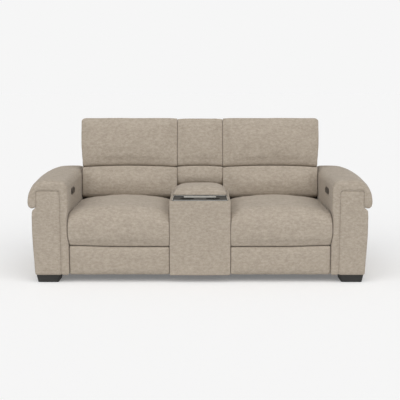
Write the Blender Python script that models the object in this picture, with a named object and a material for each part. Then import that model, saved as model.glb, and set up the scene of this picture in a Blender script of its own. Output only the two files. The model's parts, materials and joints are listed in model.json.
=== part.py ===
"""Power reclining loveseat with a storage console between its two seats.

Metres, +Z up. The front faces -Y and the origin is on the floor under the middle.
Side views are drawn in depth (backwards from the front face) and height above the floor.
The backs are drawn in their own raked frame: normal (backwards) and rise (up along the back).
"""
import math

import bmesh
import bpy
from mathutils import Matrix, Vector

# Clearances
FIT = 0.0003              # faces that rest on one another
RUN = 0.0006              # pins in holes and slides on rails
SOFT_GAP = 0.0025         # cushions beside arms and console
BACK_GAP = 0.004          # backs beside arms and console back

# Widths
SEAT_WIDTH = 0.598
CONSOLE_WIDTH = 0.362
CONSOLE_BACK_WIDTH = 0.298
ARM_WIDTH = 0.236

# Feet and the body above them
FOOT_HEIGHT = 0.0455
FOOT_WIDTH = 0.140
FOOT_SIDE_INSET = 0.014   # from the padding down the arm's inner face
FOOT_LENGTH = 0.150
FOOT_TAPER = 0.008
FOOT_INSET = 0.020
FOOT_ROUND = 0.012

# Footrest
FOOTREST_HEIGHT = 0.168
FOOTREST_THICKNESS = 0.083
FOOTREST_GAP = 0.008
FOOTREST_ROUND = 0.018
FOOTREST_CROWN = 0.010
FOOTREST_BOARD = 0.015
FOOTREST_BOARD_MARGIN = 0.010

# Seat
SEAT_DEPTH = 0.585
SEAT_EDGE_HEIGHT = 0.424
SEAT_CROWN = 0.048
SEAT_FRONT_RADIUS = 0.095
SEAT_REAR_RADIUS = 0.045
SEAT_APRON = 0.086
SEAT_APRON_ROUND = 0.012
SEAT_HEM = ((0.002, 0.040), (0.012, 0.010), (0.026, 0.0))   # the apron's lower front edge
SEAT_SIDE_ROUND = 0.020
SEAT_FRAME_TOP = 0.2925
SEAT_FRAME_FRONT = 0.095
SEAT_FRAME_OVERHANG = 0.0225
RAIL_WIDTH = 0.030
RAIL_HEIGHT = 0.0275
SIDE_RAIL_HEIGHT = 0.0175
SPRING_WIRE = 0.004
SPRING_RUNS = 10

# Arms
ARM_HEIGHT = 0.618
ARM_REACH = 0.225         # how far the arms run on behind the pivot of the backs
ARM_CREST = 0.090         # from the inner face to the top of the curve
ARM_INNER_RADIUS = 0.045
ARM_DRAPE = 0.047         # padding down the inner face
ARM_LIP = 0.047           # padding that hangs over the outer side
ARM_LIP_BOTTOM = 0.446
ARM_LIP_STRAIGHT = 0.050
ARM_PANEL_TOP = 0.5565
ARM_PANEL_RADIUS = 0.014
ARM_PANEL_SETBACK = 0.004
ARM_BULGE = 0.219
ARM_BASE = 0.206
ARM_SHOULDER = 0.045
ARM_END_ROUND = 0.012
ARM_CURVE_FOOT = (0.010, 0.080)    # how the outer side's curve leaves its foot: in from the bulge, and up
ARM_CURVE_HEAD = 0.150             # how far below its shoulder that curve stands upright
ARM_NECK = (0.012, 0.004)          # how the shoulder runs in under the lip
ARM_CREST_REACH = (0.080, 0.0)     # how far the top runs flat, and how high the outer side stands upright
ARM_WALL = 0.041
ARM_ROOF = 0.036
ARM_SIDE_WALL = 0.036
ARM_RAIL = 0.060
ARM_BAYS = 3

# Backs
BACK_PIVOT_SETBACK = 0.040          # behind the seat cushion
BACK_PIVOT_HEIGHT = 0.290
BACK_RAKE = math.radians(15.0)
LUMBAR_BOTTOM = 0.124
LUMBAR_TOP = 0.335
LUMBAR_FRONT = -0.095
LUMBAR_CROWN = 0.020
HEADREST_BOTTOM = 0.343
HEADREST_TOP = 0.665
HEADREST_FRONT = -0.090
HEADREST_REAR = 0.045
HEADREST_CROWN = 0.018
HEADREST_FLARE = 0.018
HEADREST_FLARE_START = 0.385
HEADREST_FLARE_LENGTH = 0.090
HEADREST_BOARD = 0.015
HEADREST_BOARD_MARGIN = 0.030
HEADREST_PIVOT_NORMAL = -0.045
HEADREST_PIVOT_RISE = 0.368
HEADREST_ARM_INSET = 0.109          # from a seat's edge to the headrest's hinge arms
HEADREST_ARM_HALF = 0.011
HEADREST_SLOT_PLAY = 0.0044
BACK_FRAME_FRONT = 0.064
BACK_FRAME_THICKNESS = 0.035
BACK_FRAME_BOTTOM = -0.020
BACK_FRAME_TOP = 0.600
BACK_FRAME_RAIL = 0.048
BACK_PANEL_BOTTOM = -0.060
BACK_PANEL_TOP = 0.655
BACK_PANEL_THICKNESS = 0.080
BACK_PANEL_CROWN = 0.010
BACK_PANEL_ROUND = 0.034
BACK_SIDE_ROUND = 0.014
CUSHION_ROUND = 0.046
CUSHION_TUCK = 0.003
CUSHION_FIRMNESS = 0.6              # how square the sides and the upper edges of the backs' cushions are

# Recline and legrest links: pivots in depth and height, folded
LINK_A_FIXED = (0.278, 0.268)
LINK_A_BEND = (0.323, 0.273)
LINK_A_C = (0.500, 0.222)
LINK_B_FIXED = (0.240, 0.260)
LINK_B_C = (0.451, 0.203)
LINK_B_D = (0.435, 0.225)
LINK_C_FOOTREST = (0.122, 0.083)
LINK_D_FOOTREST = (0.142, 0.160)
LINK_HALF = 0.010
LINK_THICKNESS = 0.005
LINK_PITCH = 0.008        # from one link's plane to the next
LINK_RIVET = 0.002
RIVET_HEAD = 0.008
SHAFT = 0.005             # radius of the pins and cross shafts
HINGE_PIN = 0.006
HINGE_LUG = 0.022
PLATE = 0.006
PLATE_INSET = 0.029       # from a seat's edge to its side plates
PLATE_RIM = 0.026
BRACKET_LUG = 0.014
CRANK_REACH = 0.060
CRANK_ANGLE = math.radians(71.0)
CRANK_THICKNESS = 0.006

# Power drive
DRIVE_RAIL_WIDTH = 0.024
DRIVE_RAIL_HEIGHT = 0.024
DRIVE_RAIL_BOTTOM = 0.118
DRIVE_RAIL_FRONT = 0.155
GEARBOX_OVERHANG = 0.018
GEARBOX_LENGTH = 0.060
GEARBOX_WIDTH = 0.062
MOTOR_RADIUS = 0.020
MOTOR_LENGTH = 0.110
CARRIAGE_LENGTH = 0.050
CARRIAGE_WALL = 0.007
FORK_PRONG = 0.007
FORK_PLAY = 0.0085
FORK_WIDTH = 0.012
FORK_OVERREACH = 0.007

# Base
BASE_RAIL = 0.028
BASE_THICKNESS = 0.030
BASE_FRONT = 0.100
BASE_CROSS_FRONT = 0.067  # from the first cross rail to the rear of the seat
BASE_CROSS_REAR = 0.075   # from there to the second
CONSOLE_RAIL_INSET = 0.081
REAR_RAIL_SETBACK = 0.050 # from its front face to the rear of the arms
REAR_RAIL_THICKNESS = 0.025
REAR_RAIL_BOTTOM = 0.060
REAR_RAIL_TOP = 0.176

# Console
CONSOLE_FRONT = 0.005
CONSOLE_REAR = 0.500
CONSOLE_TOP = 0.489
CONSOLE_PADDING = 0.032
CONSOLE_ROUND = 0.018
CONSOLE_WALL = 0.015
CONSOLE_FRAME_DROP = 0.010
TRAY_FRONT = 0.012
TRAY_REAR = 0.212
TRAY_WIDTH = 0.330
TRAY_THICKNESS = 0.008
TRAY_RIM = 0.006
TRAY_RECESS = 0.003
TRAY_ROUND = 0.020
CUP_DIAMETER = 0.088
CUP_DEPTH = 0.075
CUP_WALL = 0.003
CUP_OFFSET = 0.078
BIN_WALL = 0.003
BIN_DEPTH = 0.270
BIN_FLANGE = 0.007
BIN_FLANGE_THICKNESS = 0.005
BIN_ROUND = 0.020
LID_FRONT = 0.220
LID_REAR = 0.494
LID_WIDTH = 0.326
LID_BOARD = 0.010
LID_PADDING = 0.018
LID_CROWN = 0.022
LID_CROWN_POWER = 4       # the lid is flat on top and falls off near its edges
LID_ROUND = 0.020
LID_HINGE_RADIUS = 0.004
LID_HINGE_LEAF = 0.002
LID_HINGE_LENGTH = 0.240
CONSOLE_BACK_LOW = 0.210
CONSOLE_BACK_TOP = 0.662
CONSOLE_BACK_FRONT = -0.088
CONSOLE_BACK_CROWN = 0.012
CONSOLE_BACK_REAR = 0.170
CONSOLE_BACK_FOOT = 0.020
CONSOLE_BACK_SIDE_ROUND = 0.012
CONSOLE_LEDGE_TOP = 0.470
CONSOLE_LEDGE_THICKNESS = 0.045
CONSOLE_POST_SETBACK = 0.015
CONSOLE_POST_GAP = 0.020

# Switches in the arms
SWITCH_FRONT = 0.150
SWITCH_LENGTH = 0.128
SWITCH_BOTTOM = 0.512
SWITCH_HEIGHT = 0.034
SWITCH_THICKNESS = 0.012
SWITCH_PROUD = 0.0025
SWITCH_ROUND = 0.015
ROCKER_LENGTH = 0.044
ROCKER_HEIGHT = 0.020
ROCKER_THICKNESS = 0.008
ROCKER_PROUD = 0.004
ROCKER_PITCH = 0.056
ROCKER_PLAY = 0.0012
ROCKER_SINK = 0.0035

# Facets
ARC_STEPS = 4
ROUND_STEPS = 10
EDGE_LINE = 0.45                   # a round edge's middle line, as a share of its radius
CROWN_LINES = (0.25, 0.5, 0.75)    # lines along a crowned face, as shares of its length
CROWN_SPREAD = 0.4                 # how much of a seat's crown is lost at its front and rear
SEAT_SECTIONS = (0.0, 0.35, 0.7, 0.93)
SEAT_EDGE_SECTION = 0.975
BACK_SECTIONS = (0.0, 0.5, 0.95, 0.99, 1.0)
BACK_FLAT = 0.95                   # where the rear upholstery begins to round off
SHARP_ANGLE = math.radians(35.0)

# Derived places
BODY_BOTTOM = FOOT_HEIGHT + FIT
SEAT_CENTRE = (CONSOLE_WIDTH + SEAT_WIDTH) / 2
ARM_INNER = CONSOLE_WIDTH / 2 + SEAT_WIDTH
SEAT_HALF = SEAT_WIDTH / 2 - SOFT_GAP
FOOTREST_TOP = BODY_BOTTOM + FOOTREST_HEIGHT
SPRING_HEIGHT = SEAT_FRAME_TOP + FIT + SPRING_WIRE / 2
SEAT_DECK = SPRING_HEIGHT + SPRING_WIRE / 2 + FIT
BASE_TOP = BODY_BOTTOM + BASE_THICKNESS
BASE_CROSS_DEPTHS = (SEAT_DEPTH - BASE_CROSS_FRONT, SEAT_DEPTH + BASE_CROSS_REAR)
GEARBOX_FRONT = BASE_CROSS_DEPTHS[0] - GEARBOX_OVERHANG
CONSOLE_RAIL_OFFSET = CONSOLE_WIDTH / 2 - CONSOLE_RAIL_INSET
BACK_PIVOT_DEPTH = SEAT_DEPTH + BACK_PIVOT_SETBACK
ARM_DEPTH = BACK_PIVOT_DEPTH + ARM_REACH
REAR_RAIL_DEPTH = ARM_DEPTH - REAR_RAIL_SETBACK
CONSOLE_POST_FRONT = BACK_PIVOT_DEPTH + CONSOLE_POST_SETBACK
CONSOLE_POST_REAR = REAR_RAIL_DEPTH - CONSOLE_POST_GAP
HEADREST_ARM_OFFSET = SEAT_WIDTH / 2 - HEADREST_ARM_INSET
PLATE_OFFSET = SEAT_WIDTH / 2 - PLATE_INSET
PLANE_A = PLATE_OFFSET - PLATE / 2 - LINK_PITCH + LINK_THICKNESS / 2 - RUN
PLANE_C = PLANE_A - LINK_PITCH
PLANE_B = PLANE_C - LINK_PITCH
PLANE_D = PLANE_B - LINK_PITCH
SHAFT_END = PLATE_OFFSET + PLATE / 2 + LINK_RIVET / 2
HOLE = (SHAFT + RUN) / math.cos(math.pi / ROUND_STEPS)
BACK_INNER = SEAT_CENTRE - CONSOLE_BACK_WIDTH / 2 - BACK_GAP
BACK_OUTER = SEAT_WIDTH / 2 - BACK_GAP
LUMBAR_REAR = BACK_FRAME_FRONT - FIT
BACK_PANEL_FRONT = BACK_FRAME_FRONT + BACK_FRAME_THICKNESS + FIT
BACK_PANEL_REAR = BACK_PANEL_FRONT + BACK_PANEL_THICKNESS

FINISHES = {
    "fabric": ((0.413, 0.356, 0.292), 0.95, 0.0),
    "plywood": ((0.50, 0.36, 0.22), 0.70, 0.0),
    "painted_steel": ((0.030, 0.030, 0.032), 0.50, 0.6),
    "zinc_steel": ((0.46, 0.46, 0.45), 0.38, 0.9),
    "black_plastic": ((0.020, 0.019, 0.018), 0.45, 0.0),
    "dark_foot": ((0.045, 0.043, 0.038), 0.45, 0.0),
    "tray_plastic": ((0.100, 0.091, 0.074), 0.40, 0.0),
}


def clear_scene():
    """Remove whatever the open scene holds."""
    for old in list(bpy.data.objects):
        bpy.data.objects.remove(old, do_unlink=True)


def world_y(depth):
    """World Y of a place that lies `depth` behind the front face."""
    return depth - OVERALL_DEPTH / 2


def arc(centre, radius, start, end, steps=ARC_STEPS):
    """Points on an arc, with its angles in degrees."""
    points = []
    for step in range(steps + 1):
        angle = math.radians(start + (end - start) * step / steps)
        points.append((centre[0] + radius * math.cos(angle), centre[1] + radius * math.sin(angle)))
    return points


def circle(centre, radius, steps=ROUND_STEPS):
    """A closed ring of points."""
    return arc(centre, radius, 0.0, 360.0, steps)[:-1]


def bezier(first, second, third, fourth, steps=6):
    """Points on a cubic curve between its two end points."""
    points = []
    for step in range(steps + 1):
        t = step / steps
        weights = ((1 - t) ** 3, 3 * t * (1 - t) ** 2, 3 * t * t * (1 - t), t ** 3)
        corners = (first, second, third, fourth)
        points.append(tuple(sum(w * c[axis] for w, c in zip(weights, corners)) for axis in (0, 1)))
    return points


def rounded_rectangle(low, high, radius, steps=3):
    """A rectangle with round corners, anticlockwise."""
    points = []
    corners = ((high[0] - radius, low[1] + radius, -90), (high[0] - radius, high[1] - radius, 0),
               (low[0] + radius, high[1] - radius, 90), (low[0] + radius, low[1] + radius, 180))
    for across, up, start in corners:
        points += arc((across, up), radius, start, start + 90, steps)
    return points


def inset(outline, amount):
    """Move a closed outline inwards, keeping its count of points."""
    area = sum(a[0] * b[1] - b[0] * a[1] for a, b in zip(outline, outline[1:] + outline[:1]))
    turn = 1.0 if area > 0 else -1.0
    moved = []
    for index, point in enumerate(outline):
        before = Vector(point) - Vector(outline[index - 1])
        after = Vector(outline[(index + 1) % len(outline)]) - Vector(point)
        normals = [Vector((-edge.y, edge.x)).normalized() * turn for edge in (before, after)]
        middle = (normals[0] + normals[1]).normalized()
        moved.append(tuple(Vector(point) + middle * amount / max(0.5, middle.dot(normals[0]))))
    return moved


def bar(points, half):
    """The outline of a flat bar along a bent path, with round ends."""
    path = [Vector(point) for point in points]
    left, right = [], []
    for index, point in enumerate(path):
        before = (point - path[index - 1]).normalized() if index else None
        after = (path[index + 1] - point).normalized() if index + 1 < len(path) else None
        normals = [Vector((-way.y, way.x)) for way in (before, after) if way]
        middle = sum(normals, Vector((0, 0))).normalized()
        offset = middle * half / middle.dot(normals[0])
        left.append(tuple(point + offset))
        right.append(tuple(point - offset))
    ways = (path[-1] - path[-2], path[0] - path[1])
    angles = [math.degrees(math.atan2(way.y, way.x)) for way in ways]
    far = arc(points[-1], half, angles[0] - 90, angles[0] + 90)
    near = arc(points[0], half, angles[1] - 90, angles[1] + 90)
    return right[1:-1] + far + left[1:-1][::-1] + near


def hull(points):
    """The convex outline around points."""
    ordered = sorted(set(points))
    chains = []
    for walk in (ordered, ordered[::-1]):
        chain = []
        for point in walk:
            while len(chain) > 1:
                a, b = chain[-2], chain[-1]
                if (b[0] - a[0]) * (point[1] - a[1]) - (b[1] - a[1]) * (point[0] - a[0]) > 1e-12:
                    break
                chain.pop()
            chain.append(point)
        chains += chain[:-1]
    return chains


def side_view(across, up, along):
    """Depth and height, with X along the third axis."""
    return Vector((along, world_y(across), up))


def front_view(across, up, along):
    """X and height, with depth along the third axis."""
    return Vector((across, world_y(along), up))


def plan_view(across, up, along):
    """X and depth, with height along the third axis."""
    return Vector((across, world_y(up), along))


def raked_side(across, up, along):
    """Normal and rise in the frame of a back, with X along the third axis."""
    return Vector((along, across, up))


def raked_front(across, up, along):
    """X and rise in the frame of a back, with the normal along the third axis."""
    return Vector((across, along, up))


def plate(view, outline, holes, start, end):
    """A flat sheet of one outline, with holes, made thick along the view's third axis."""
    bm = bmesh.new()
    for ring in [outline] + list(holes):
        verts = [bm.verts.new(view(across, up, start)) for across, up in ring]
        for index, vert in enumerate(verts):
            bm.edges.new((verts[index - 1], vert))
    bmesh.ops.triangle_fill(bm, use_beauty=True, edges=bm.edges[:])
    sheet = bmesh.ops.extrude_face_region(bm, geom=bm.faces[:])
    moved = [item for item in sheet["geom"] if isinstance(item, bmesh.types.BMVert)]
    bmesh.ops.translate(bm, verts=moved, vec=view(0, 0, end) - view(0, 0, start))
    return bm


def block(view, low, high, start, end):
    """A square-cornered block."""
    outline = [low, (high[0], low[1]), high, (low[0], high[1])]
    return plate(view, outline, [], start, end)


def pin(view, centre, radius, start, end):
    """A round pin along the view's third axis."""
    return plate(view, circle(centre, radius), [], start, end)


def loft(view, sections):
    """Skin a row of (outline, place) sections and close both ends."""
    bm = bmesh.new()
    rings = []
    for outline, along in sections:
        rings.append([bm.verts.new(view(across, up, along)) for across, up in outline])
    for first, second in zip(rings, rings[1:]):
        for index in range(len(first)):
            bm.faces.new((first[index - 1], first[index], second[index], second[index - 1]))
    for ring in (rings[0], rings[-1]):
        bm.faces.new(ring)
    return bm


def axis_stops(half, radius, spans):
    """Where the lattice of a cushion has its lines along one axis."""
    flat = half - radius
    stops = [-half, -half + EDGE_LINE * radius]
    stops += [flat * (2 * step / spans - 1) for step in range(spans + 1)]
    return stops + [half - EDGE_LINE * radius, half]


def cushion(low, high, radius, spans, shape=None, firm=0.0):
    """A block with round edges, and `shape` to crown it and draw in its sides.

    `shape` takes the point and its place in the block, each axis from -1 to 1, and returns the point.
    `firm` squares the sides and the upper edges, from 0, round, to 1, sharp.
    """
    middle = (Vector(low) + Vector(high)) / 2
    half = (Vector(high) - Vector(low)) / 2
    stops = [axis_stops(half[axis], radius, spans[axis]) for axis in range(3)]
    last = [len(row) - 1 for row in stops]
    bm = bmesh.new()
    verts = {}

    def vert_at(key):
        if key not in verts:
            raw = Vector([stops[axis][key[axis]] for axis in range(3)])
            core = Vector([max(-half[a] + radius, min(half[a] - radius, raw[a])) for a in range(3)])
            round_point = core + (raw - core).normalized() * radius
            squared = round_point.lerp(raw, firm * max(0.0, min(1.0, 1 + 2 * raw.z / half.z)))
            squared.x = raw.x - (1 - firm) ** 2 * (raw.x - round_point.x)
            round_point = squared
            place = Vector([round_point[axis] / half[axis] for axis in range(3)])
            point = middle + round_point
            verts[key] = bm.verts.new(shape(point, place) if shape else point)
        return verts[key]

    for axis in range(3):
        one, two = (axis + 1) % 3, (axis + 2) % 3
        for level in (0, last[axis]):
            for i in range(last[one]):
                for j in range(last[two]):
                    keys = []
                    for di, dj in ((0, 0), (1, 0), (1, 1), (0, 1)):
                        key = [0, 0, 0]
                        key[axis], key[one], key[two] = level, i + di, j + dj
                        keys.append(tuple(key))
                    bm.faces.new([vert_at(key) for key in keys])
    return bm


def crowned(axis, sign, crown, tuck, tucked, power=2):
    """A shape for `cushion`: one face swells by `crown` and the `tucked` axes draw in by `tuck`."""
    others = [other for other in range(3) if other != axis]

    def shape(point, place):
        swell = (1 - abs(place[others[0]]) ** power) * (1 - abs(place[others[1]]) ** power)
        moved = point.copy()
        moved[axis] += sign * crown * swell * (1 + sign * place[axis]) / 2
        for side in tucked:
            along = [other for other in others if other != side][0]
            moved[side] -= tuck * place[side] * abs(place[side]) ** 3 * (1 - place[along] ** 2)
        return moved

    return shape


def combine(operation, base, *tools):
    """Unite solids, or cut one with others, and return the result."""
    for tool in tools:
        steps = []
        for bm in (base, tool):
            bmesh.ops.recalc_face_normals(bm, faces=bm.faces[:])
            mesh = bpy.data.meshes.new("combine_step")
            bm.to_mesh(mesh)
            bm.free()
            steps.append(bpy.data.objects.new("combine_step", mesh))
            bpy.context.scene.collection.objects.link(steps[-1])
        modifier = steps[0].modifiers.new("combine", "BOOLEAN")
        modifier.object = steps[1]
        modifier.operation = operation
        modifier.solver = "EXACT"
        base = bmesh.new()
        base.from_object(steps[0], bpy.context.evaluated_depsgraph_get())
        for step in steps:
            mesh = step.data
            bpy.data.objects.remove(step)
            bpy.data.meshes.remove(mesh)
        bmesh.ops.remove_doubles(base, verts=base.verts[:], dist=1e-6)
        bmesh.ops.dissolve_degenerate(base, edges=base.edges[:], dist=1e-6)
    return base


def unite(base, *tools):
    return combine("UNION", base, *tools)


def cut(base, *tools):
    return combine("DIFFERENCE", base, *tools)


def finish_material(node, finish):
    """A Principled material for one node."""
    colour, roughness, metallic = FINISHES[finish]
    material = bpy.data.materials.new(node + "_" + finish)
    material.use_nodes = True
    shader = material.node_tree.nodes["Principled BSDF"]
    shader.inputs["Base Color"].default_value = (*colour, 1.0)
    shader.inputs["Roughness"].default_value = roughness
    shader.inputs["Metallic"].default_value = metallic
    return material


def add_node(name, bm, finish, pivot=None, raked=False):
    """Make a named object of a solid, carried by the empty on its joint's axis."""
    bmesh.ops.recalc_face_normals(bm, faces=bm.faces[:])
    bmesh.ops.triangulate(bm, faces=bm.faces[:])
    mesh = bpy.data.meshes.new(name)
    bm.to_mesh(mesh)
    bm.free()
    mesh.shade_smooth()
    mesh.set_sharp_from_angle(angle=SHARP_ANGLE)
    mesh.materials.append(finish_material(name, finish))
    node = bpy.data.objects.new(name, mesh)
    bpy.context.scene.collection.objects.link(node)
    if pivot:
        node.parent = pivot
        if not raked:
            node.matrix_parent_inverse = pivot.matrix_world.inverted()
    return node


def add_pivot(name, place, rake=0.0, parent=None):
    """An empty on a joint's axis."""
    pivot = bpy.data.objects.new(name, None)
    pivot.location = place
    pivot.rotation_euler.x = rake
    pivot.parent = parent
    bpy.context.scene.collection.objects.link(pivot)
    bpy.context.view_layer.update()
    return pivot


def mirrored(side, outline):
    """Turn (outwards, up) points into (x, up) on one side of the middle."""
    return [(side * across, up) for across, up in outline]


def arm_panel_outline(grow):
    """The upper part of an arm's body, which its padding wraps."""
    inner = ARM_INNER + ARM_DRAPE - grow
    outer = ARM_INNER + ARM_WIDTH - ARM_LIP + grow
    top = ARM_PANEL_TOP + grow
    radius = ARM_PANEL_RADIUS + grow
    return (arc((outer - radius, top - radius), radius, 0, 90, 3)
            + arc((inner + radius, top - radius), radius, 90, 180, 3))


def arm_body_outline():
    """Front view of an arm's body: straight inside, bulging below the padding's lip."""
    inner = ARM_INNER + ARM_DRAPE
    neck = ARM_INNER + ARM_WIDTH - ARM_LIP
    bulge = ARM_INNER + ARM_BULGE
    shoulder = ARM_LIP_BOTTOM - ARM_SHOULDER
    side = bezier((ARM_INNER + ARM_BASE, BODY_BOTTOM),
                  (bulge - ARM_CURVE_FOOT[0], BODY_BOTTOM + ARM_CURVE_FOOT[1]),
                  (bulge, shoulder - ARM_CURVE_HEAD), (bulge, shoulder), 5)
    neck_curve = bezier((bulge, shoulder), (bulge, shoulder + 2 * ARM_SHOULDER / 3),
                        (neck + ARM_NECK[0], ARM_LIP_BOTTOM - ARM_NECK[1]), (neck, ARM_LIP_BOTTOM), 4)
    return [(inner, BODY_BOTTOM)] + side + neck_curve[1:] + arm_panel_outline(0.0)


def arm_pad_outline():
    """Front view of an arm's padding: up the inner face, over the top and down to the lip."""
    outer = ARM_INNER + ARM_WIDTH
    lip = ARM_LIP / 2 - FIT / 2
    lip_middle = (outer - lip, ARM_LIP_BOTTOM + lip)
    crest = ARM_INNER + ARM_CREST
    over = bezier((crest, ARM_HEIGHT), (crest + ARM_CREST_REACH[0], ARM_HEIGHT),
                  (outer, ARM_HEIGHT - ARM_CREST_REACH[1]), (outer, ARM_LIP_BOTTOM + ARM_LIP_STRAIGHT), 8)
    inner_round = arc((ARM_INNER + ARM_INNER_RADIUS, ARM_HEIGHT - ARM_INNER_RADIUS), ARM_INNER_RADIUS,
                      180, 90, 4)
    return ([(ARM_INNER, BODY_BOTTOM)] + inner_round + over + arc(lip_middle, lip, 0, -180, 5)
            + arm_panel_outline(FIT) + [(ARM_INNER + ARM_DRAPE - FIT, BODY_BOTTOM)])


def rounded_ends(outline, front, rear):
    """Sections of a long piece whose two ends are rounded."""
    half = ARM_END_ROUND / 2
    return [(inset(outline, half), front), (inset(outline, half / 4), front + ARM_END_ROUND / 3),
            (outline, front + ARM_END_ROUND), (outline, rear - ARM_END_ROUND),
            (inset(outline, half / 4), rear - ARM_END_ROUND / 3), (inset(outline, half), rear)]


def build_foot(name, side, front):
    """A low block foot that narrows towards the floor."""
    inner = ARM_INNER + ARM_DRAPE + FOOT_SIDE_INSET
    sections = []
    for taper, height in ((FOOT_TAPER, 0.0), (0.0, FOOT_HEIGHT)):
        low = (inner + taper, front + taper)
        high = (inner + FOOT_WIDTH - taper, front + FOOT_LENGTH - taper)
        sections.append((mirrored(side, rounded_rectangle(low, high, FOOT_ROUND)), height))
    add_node(name, loft(plan_view, sections), "dark_foot")


def build_arm(side, hand):
    """One arm: frame, upholstered body, wrapped padding, feet and its switches."""
    body = loft(front_view, rounded_ends(mirrored(side, arm_body_outline()), ARM_PANEL_SETBACK, ARM_DEPTH))
    cavity_inner = ARM_INNER
    cavity_outer = ARM_INNER + ARM_WIDTH - ARM_LIP - ARM_SIDE_WALL
    cavity_front = ARM_PANEL_SETBACK + ARM_WALL
    cavity_rear = ARM_DEPTH - ARM_WALL
    cavity_top = ARM_PANEL_TOP - ARM_ROOF
    ends = sorted((side * cavity_inner, side * cavity_outer))
    cavity = block(side_view, (cavity_front, 0.0), (cavity_rear, cavity_top), ends[0], ends[1])
    add_node(hand + "_arm_body", cut(body, cavity), "fabric")

    low = (cavity_front + FIT, BODY_BOTTOM)
    high = (cavity_rear - FIT, cavity_top - FIT)
    frame_ends = sorted((side * (ARM_INNER + ARM_DRAPE + FIT), side * (cavity_outer - FIT)))
    bay = (high[0] - low[0] - (ARM_BAYS + 1) * ARM_RAIL) / ARM_BAYS
    windows = []
    for index in range(ARM_BAYS):
        start = low[0] + ARM_RAIL + index * (bay + ARM_RAIL)
        windows.append(rounded_rectangle((start, low[1] + ARM_RAIL), (start + bay, high[1] - ARM_RAIL),
                                         ARM_RAIL / 3, 2))
    outline = [low, (high[0], low[1]), high, (low[0], high[1])]
    add_node(hand + "_arm_frame", plate(side_view, outline, windows, *frame_ends), "plywood")

    pad = loft(front_view, rounded_ends(mirrored(side, arm_pad_outline()), 0.0, ARM_DEPTH))
    pocket_low = (SWITCH_FRONT - FIT, SWITCH_BOTTOM - FIT)
    pocket_high = (SWITCH_FRONT + SWITCH_LENGTH + FIT, SWITCH_BOTTOM + SWITCH_HEIGHT + FIT)
    pocket_ends = sorted((side * (ARM_INNER - SOFT_GAP),
                          side * (ARM_INNER + SWITCH_THICKNESS - SWITCH_PROUD + FIT)))
    pocket_outline = rounded_rectangle(pocket_low, pocket_high, SWITCH_ROUND + FIT)
    pocket = plate(side_view, pocket_outline, [], *pocket_ends)
    add_node(hand + "_arm_pad", cut(pad, pocket), "fabric")

    build_foot(hand + "_front_foot", side, FOOT_INSET)
    build_foot(hand + "_rear_foot", side, ARM_DEPTH - FOOT_INSET - FOOT_LENGTH)
    build_switches(side, hand)


def build_switches(side, hand):
    """The switch plate on the inner face of an arm, with its two rockers."""
    face = ARM_INNER - SWITCH_PROUD
    ends = sorted((side * face, side * (face + SWITCH_THICKNESS)))
    low = (SWITCH_FRONT, SWITCH_BOTTOM)
    high = (SWITCH_FRONT + SWITCH_LENGTH, SWITCH_BOTTOM + SWITCH_HEIGHT)
    panel = plate(side_view, rounded_rectangle(low, high, SWITCH_ROUND), [], *ends)
    middle_height = SWITCH_BOTTOM + SWITCH_HEIGHT / 2
    middle_depth = SWITCH_FRONT + SWITCH_LENGTH / 2
    rockers = (("recline", -ROCKER_PITCH / 2), ("headrest", ROCKER_PITCH / 2))
    for use, shift in rockers:
        half = (ROCKER_LENGTH / 2, ROCKER_HEIGHT / 2)
        depth = middle_depth + shift
        recess_ends = sorted((side * (face - SOFT_GAP),
                              side * (face - ROCKER_PROUD + ROCKER_THICKNESS + ROCKER_SINK)))
        recess = block(side_view, (depth - half[0] - ROCKER_PLAY, middle_height - half[1] - ROCKER_PLAY),
                       (depth + half[0] + ROCKER_PLAY, middle_height + half[1] + ROCKER_PLAY), *recess_ends)
        panel = cut(panel, recess)
        outer = face - ROCKER_PROUD
        pivot_x = side * (outer + ROCKER_THICKNESS / 2)
        pivot = add_pivot(hand + "_" + use + "_rocker_axis", (pivot_x, world_y(depth), middle_height))
        crest = [(depth - half[0], ROCKER_THICKNESS), (depth - half[0], ROCKER_THICKNESS / 8),
                 (depth, ROCKER_THICKNESS / 4), (depth + half[0], ROCKER_THICKNESS / 8),
                 (depth + half[0], ROCKER_THICKNESS)]
        outline = [(side * (outer + sink), along) for along, sink in crest]
        rocker = plate(plan_view, outline, [], middle_height - half[1], middle_height + half[1])
        axle_ends = (middle_height - half[1] - ROCKER_PLAY + FIT, middle_height + half[1] + ROCKER_PLAY - FIT)
        axle = pin(plan_view, (pivot_x, depth), ROCKER_THICKNESS / 4, *axle_ends)
        add_node(hand + "_" + use + "_rocker", unite(rocker, axle), "black_plastic", pivot)
    add_node(hand + "_switch_panel", panel, "black_plastic")


def build_base():
    """The steel base under both seats and the console, and the rail across the rear."""
    columns = []
    for side in (-1, 1):
        centre = side * SEAT_CENTRE
        for way in (-1, 1):
            middle = centre + way * (PLATE_OFFSET - PLATE / 2 + BASE_RAIL / 2)
            columns.append((middle - BASE_RAIL / 2, middle + BASE_RAIL / 2))
        middle = side * CONSOLE_RAIL_OFFSET
        columns.append((middle - BASE_RAIL / 2, middle + BASE_RAIL / 2))
    columns.sort()
    reach = ARM_INNER - RUN
    front, rear = BASE_CROSS_DEPTHS
    outline = [(-reach, front)]
    for low, high in columns:
        outline += [(low, front), (low, BASE_FRONT), (high, BASE_FRONT), (high, front)]
    outline += [(reach, front), (reach, rear + BASE_RAIL), (-reach, rear + BASE_RAIL)]
    windows = []
    for first, second in zip(columns, columns[1:]):
        low = (first[1], front + BASE_RAIL)
        high = (second[0], rear)
        windows.append([low, (high[0], low[1]), high, (low[0], high[1])])
    add_node("base_frame", plate(plan_view, outline, windows, BODY_BOTTOM, BASE_TOP), "painted_steel")

    rail = block(front_view, (-reach, REAR_RAIL_BOTTOM), (reach, REAR_RAIL_TOP), REAR_RAIL_DEPTH,
                 REAR_RAIL_DEPTH + REAR_RAIL_THICKNESS)
    add_node("rear_rail", rail, "plywood")


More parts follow.
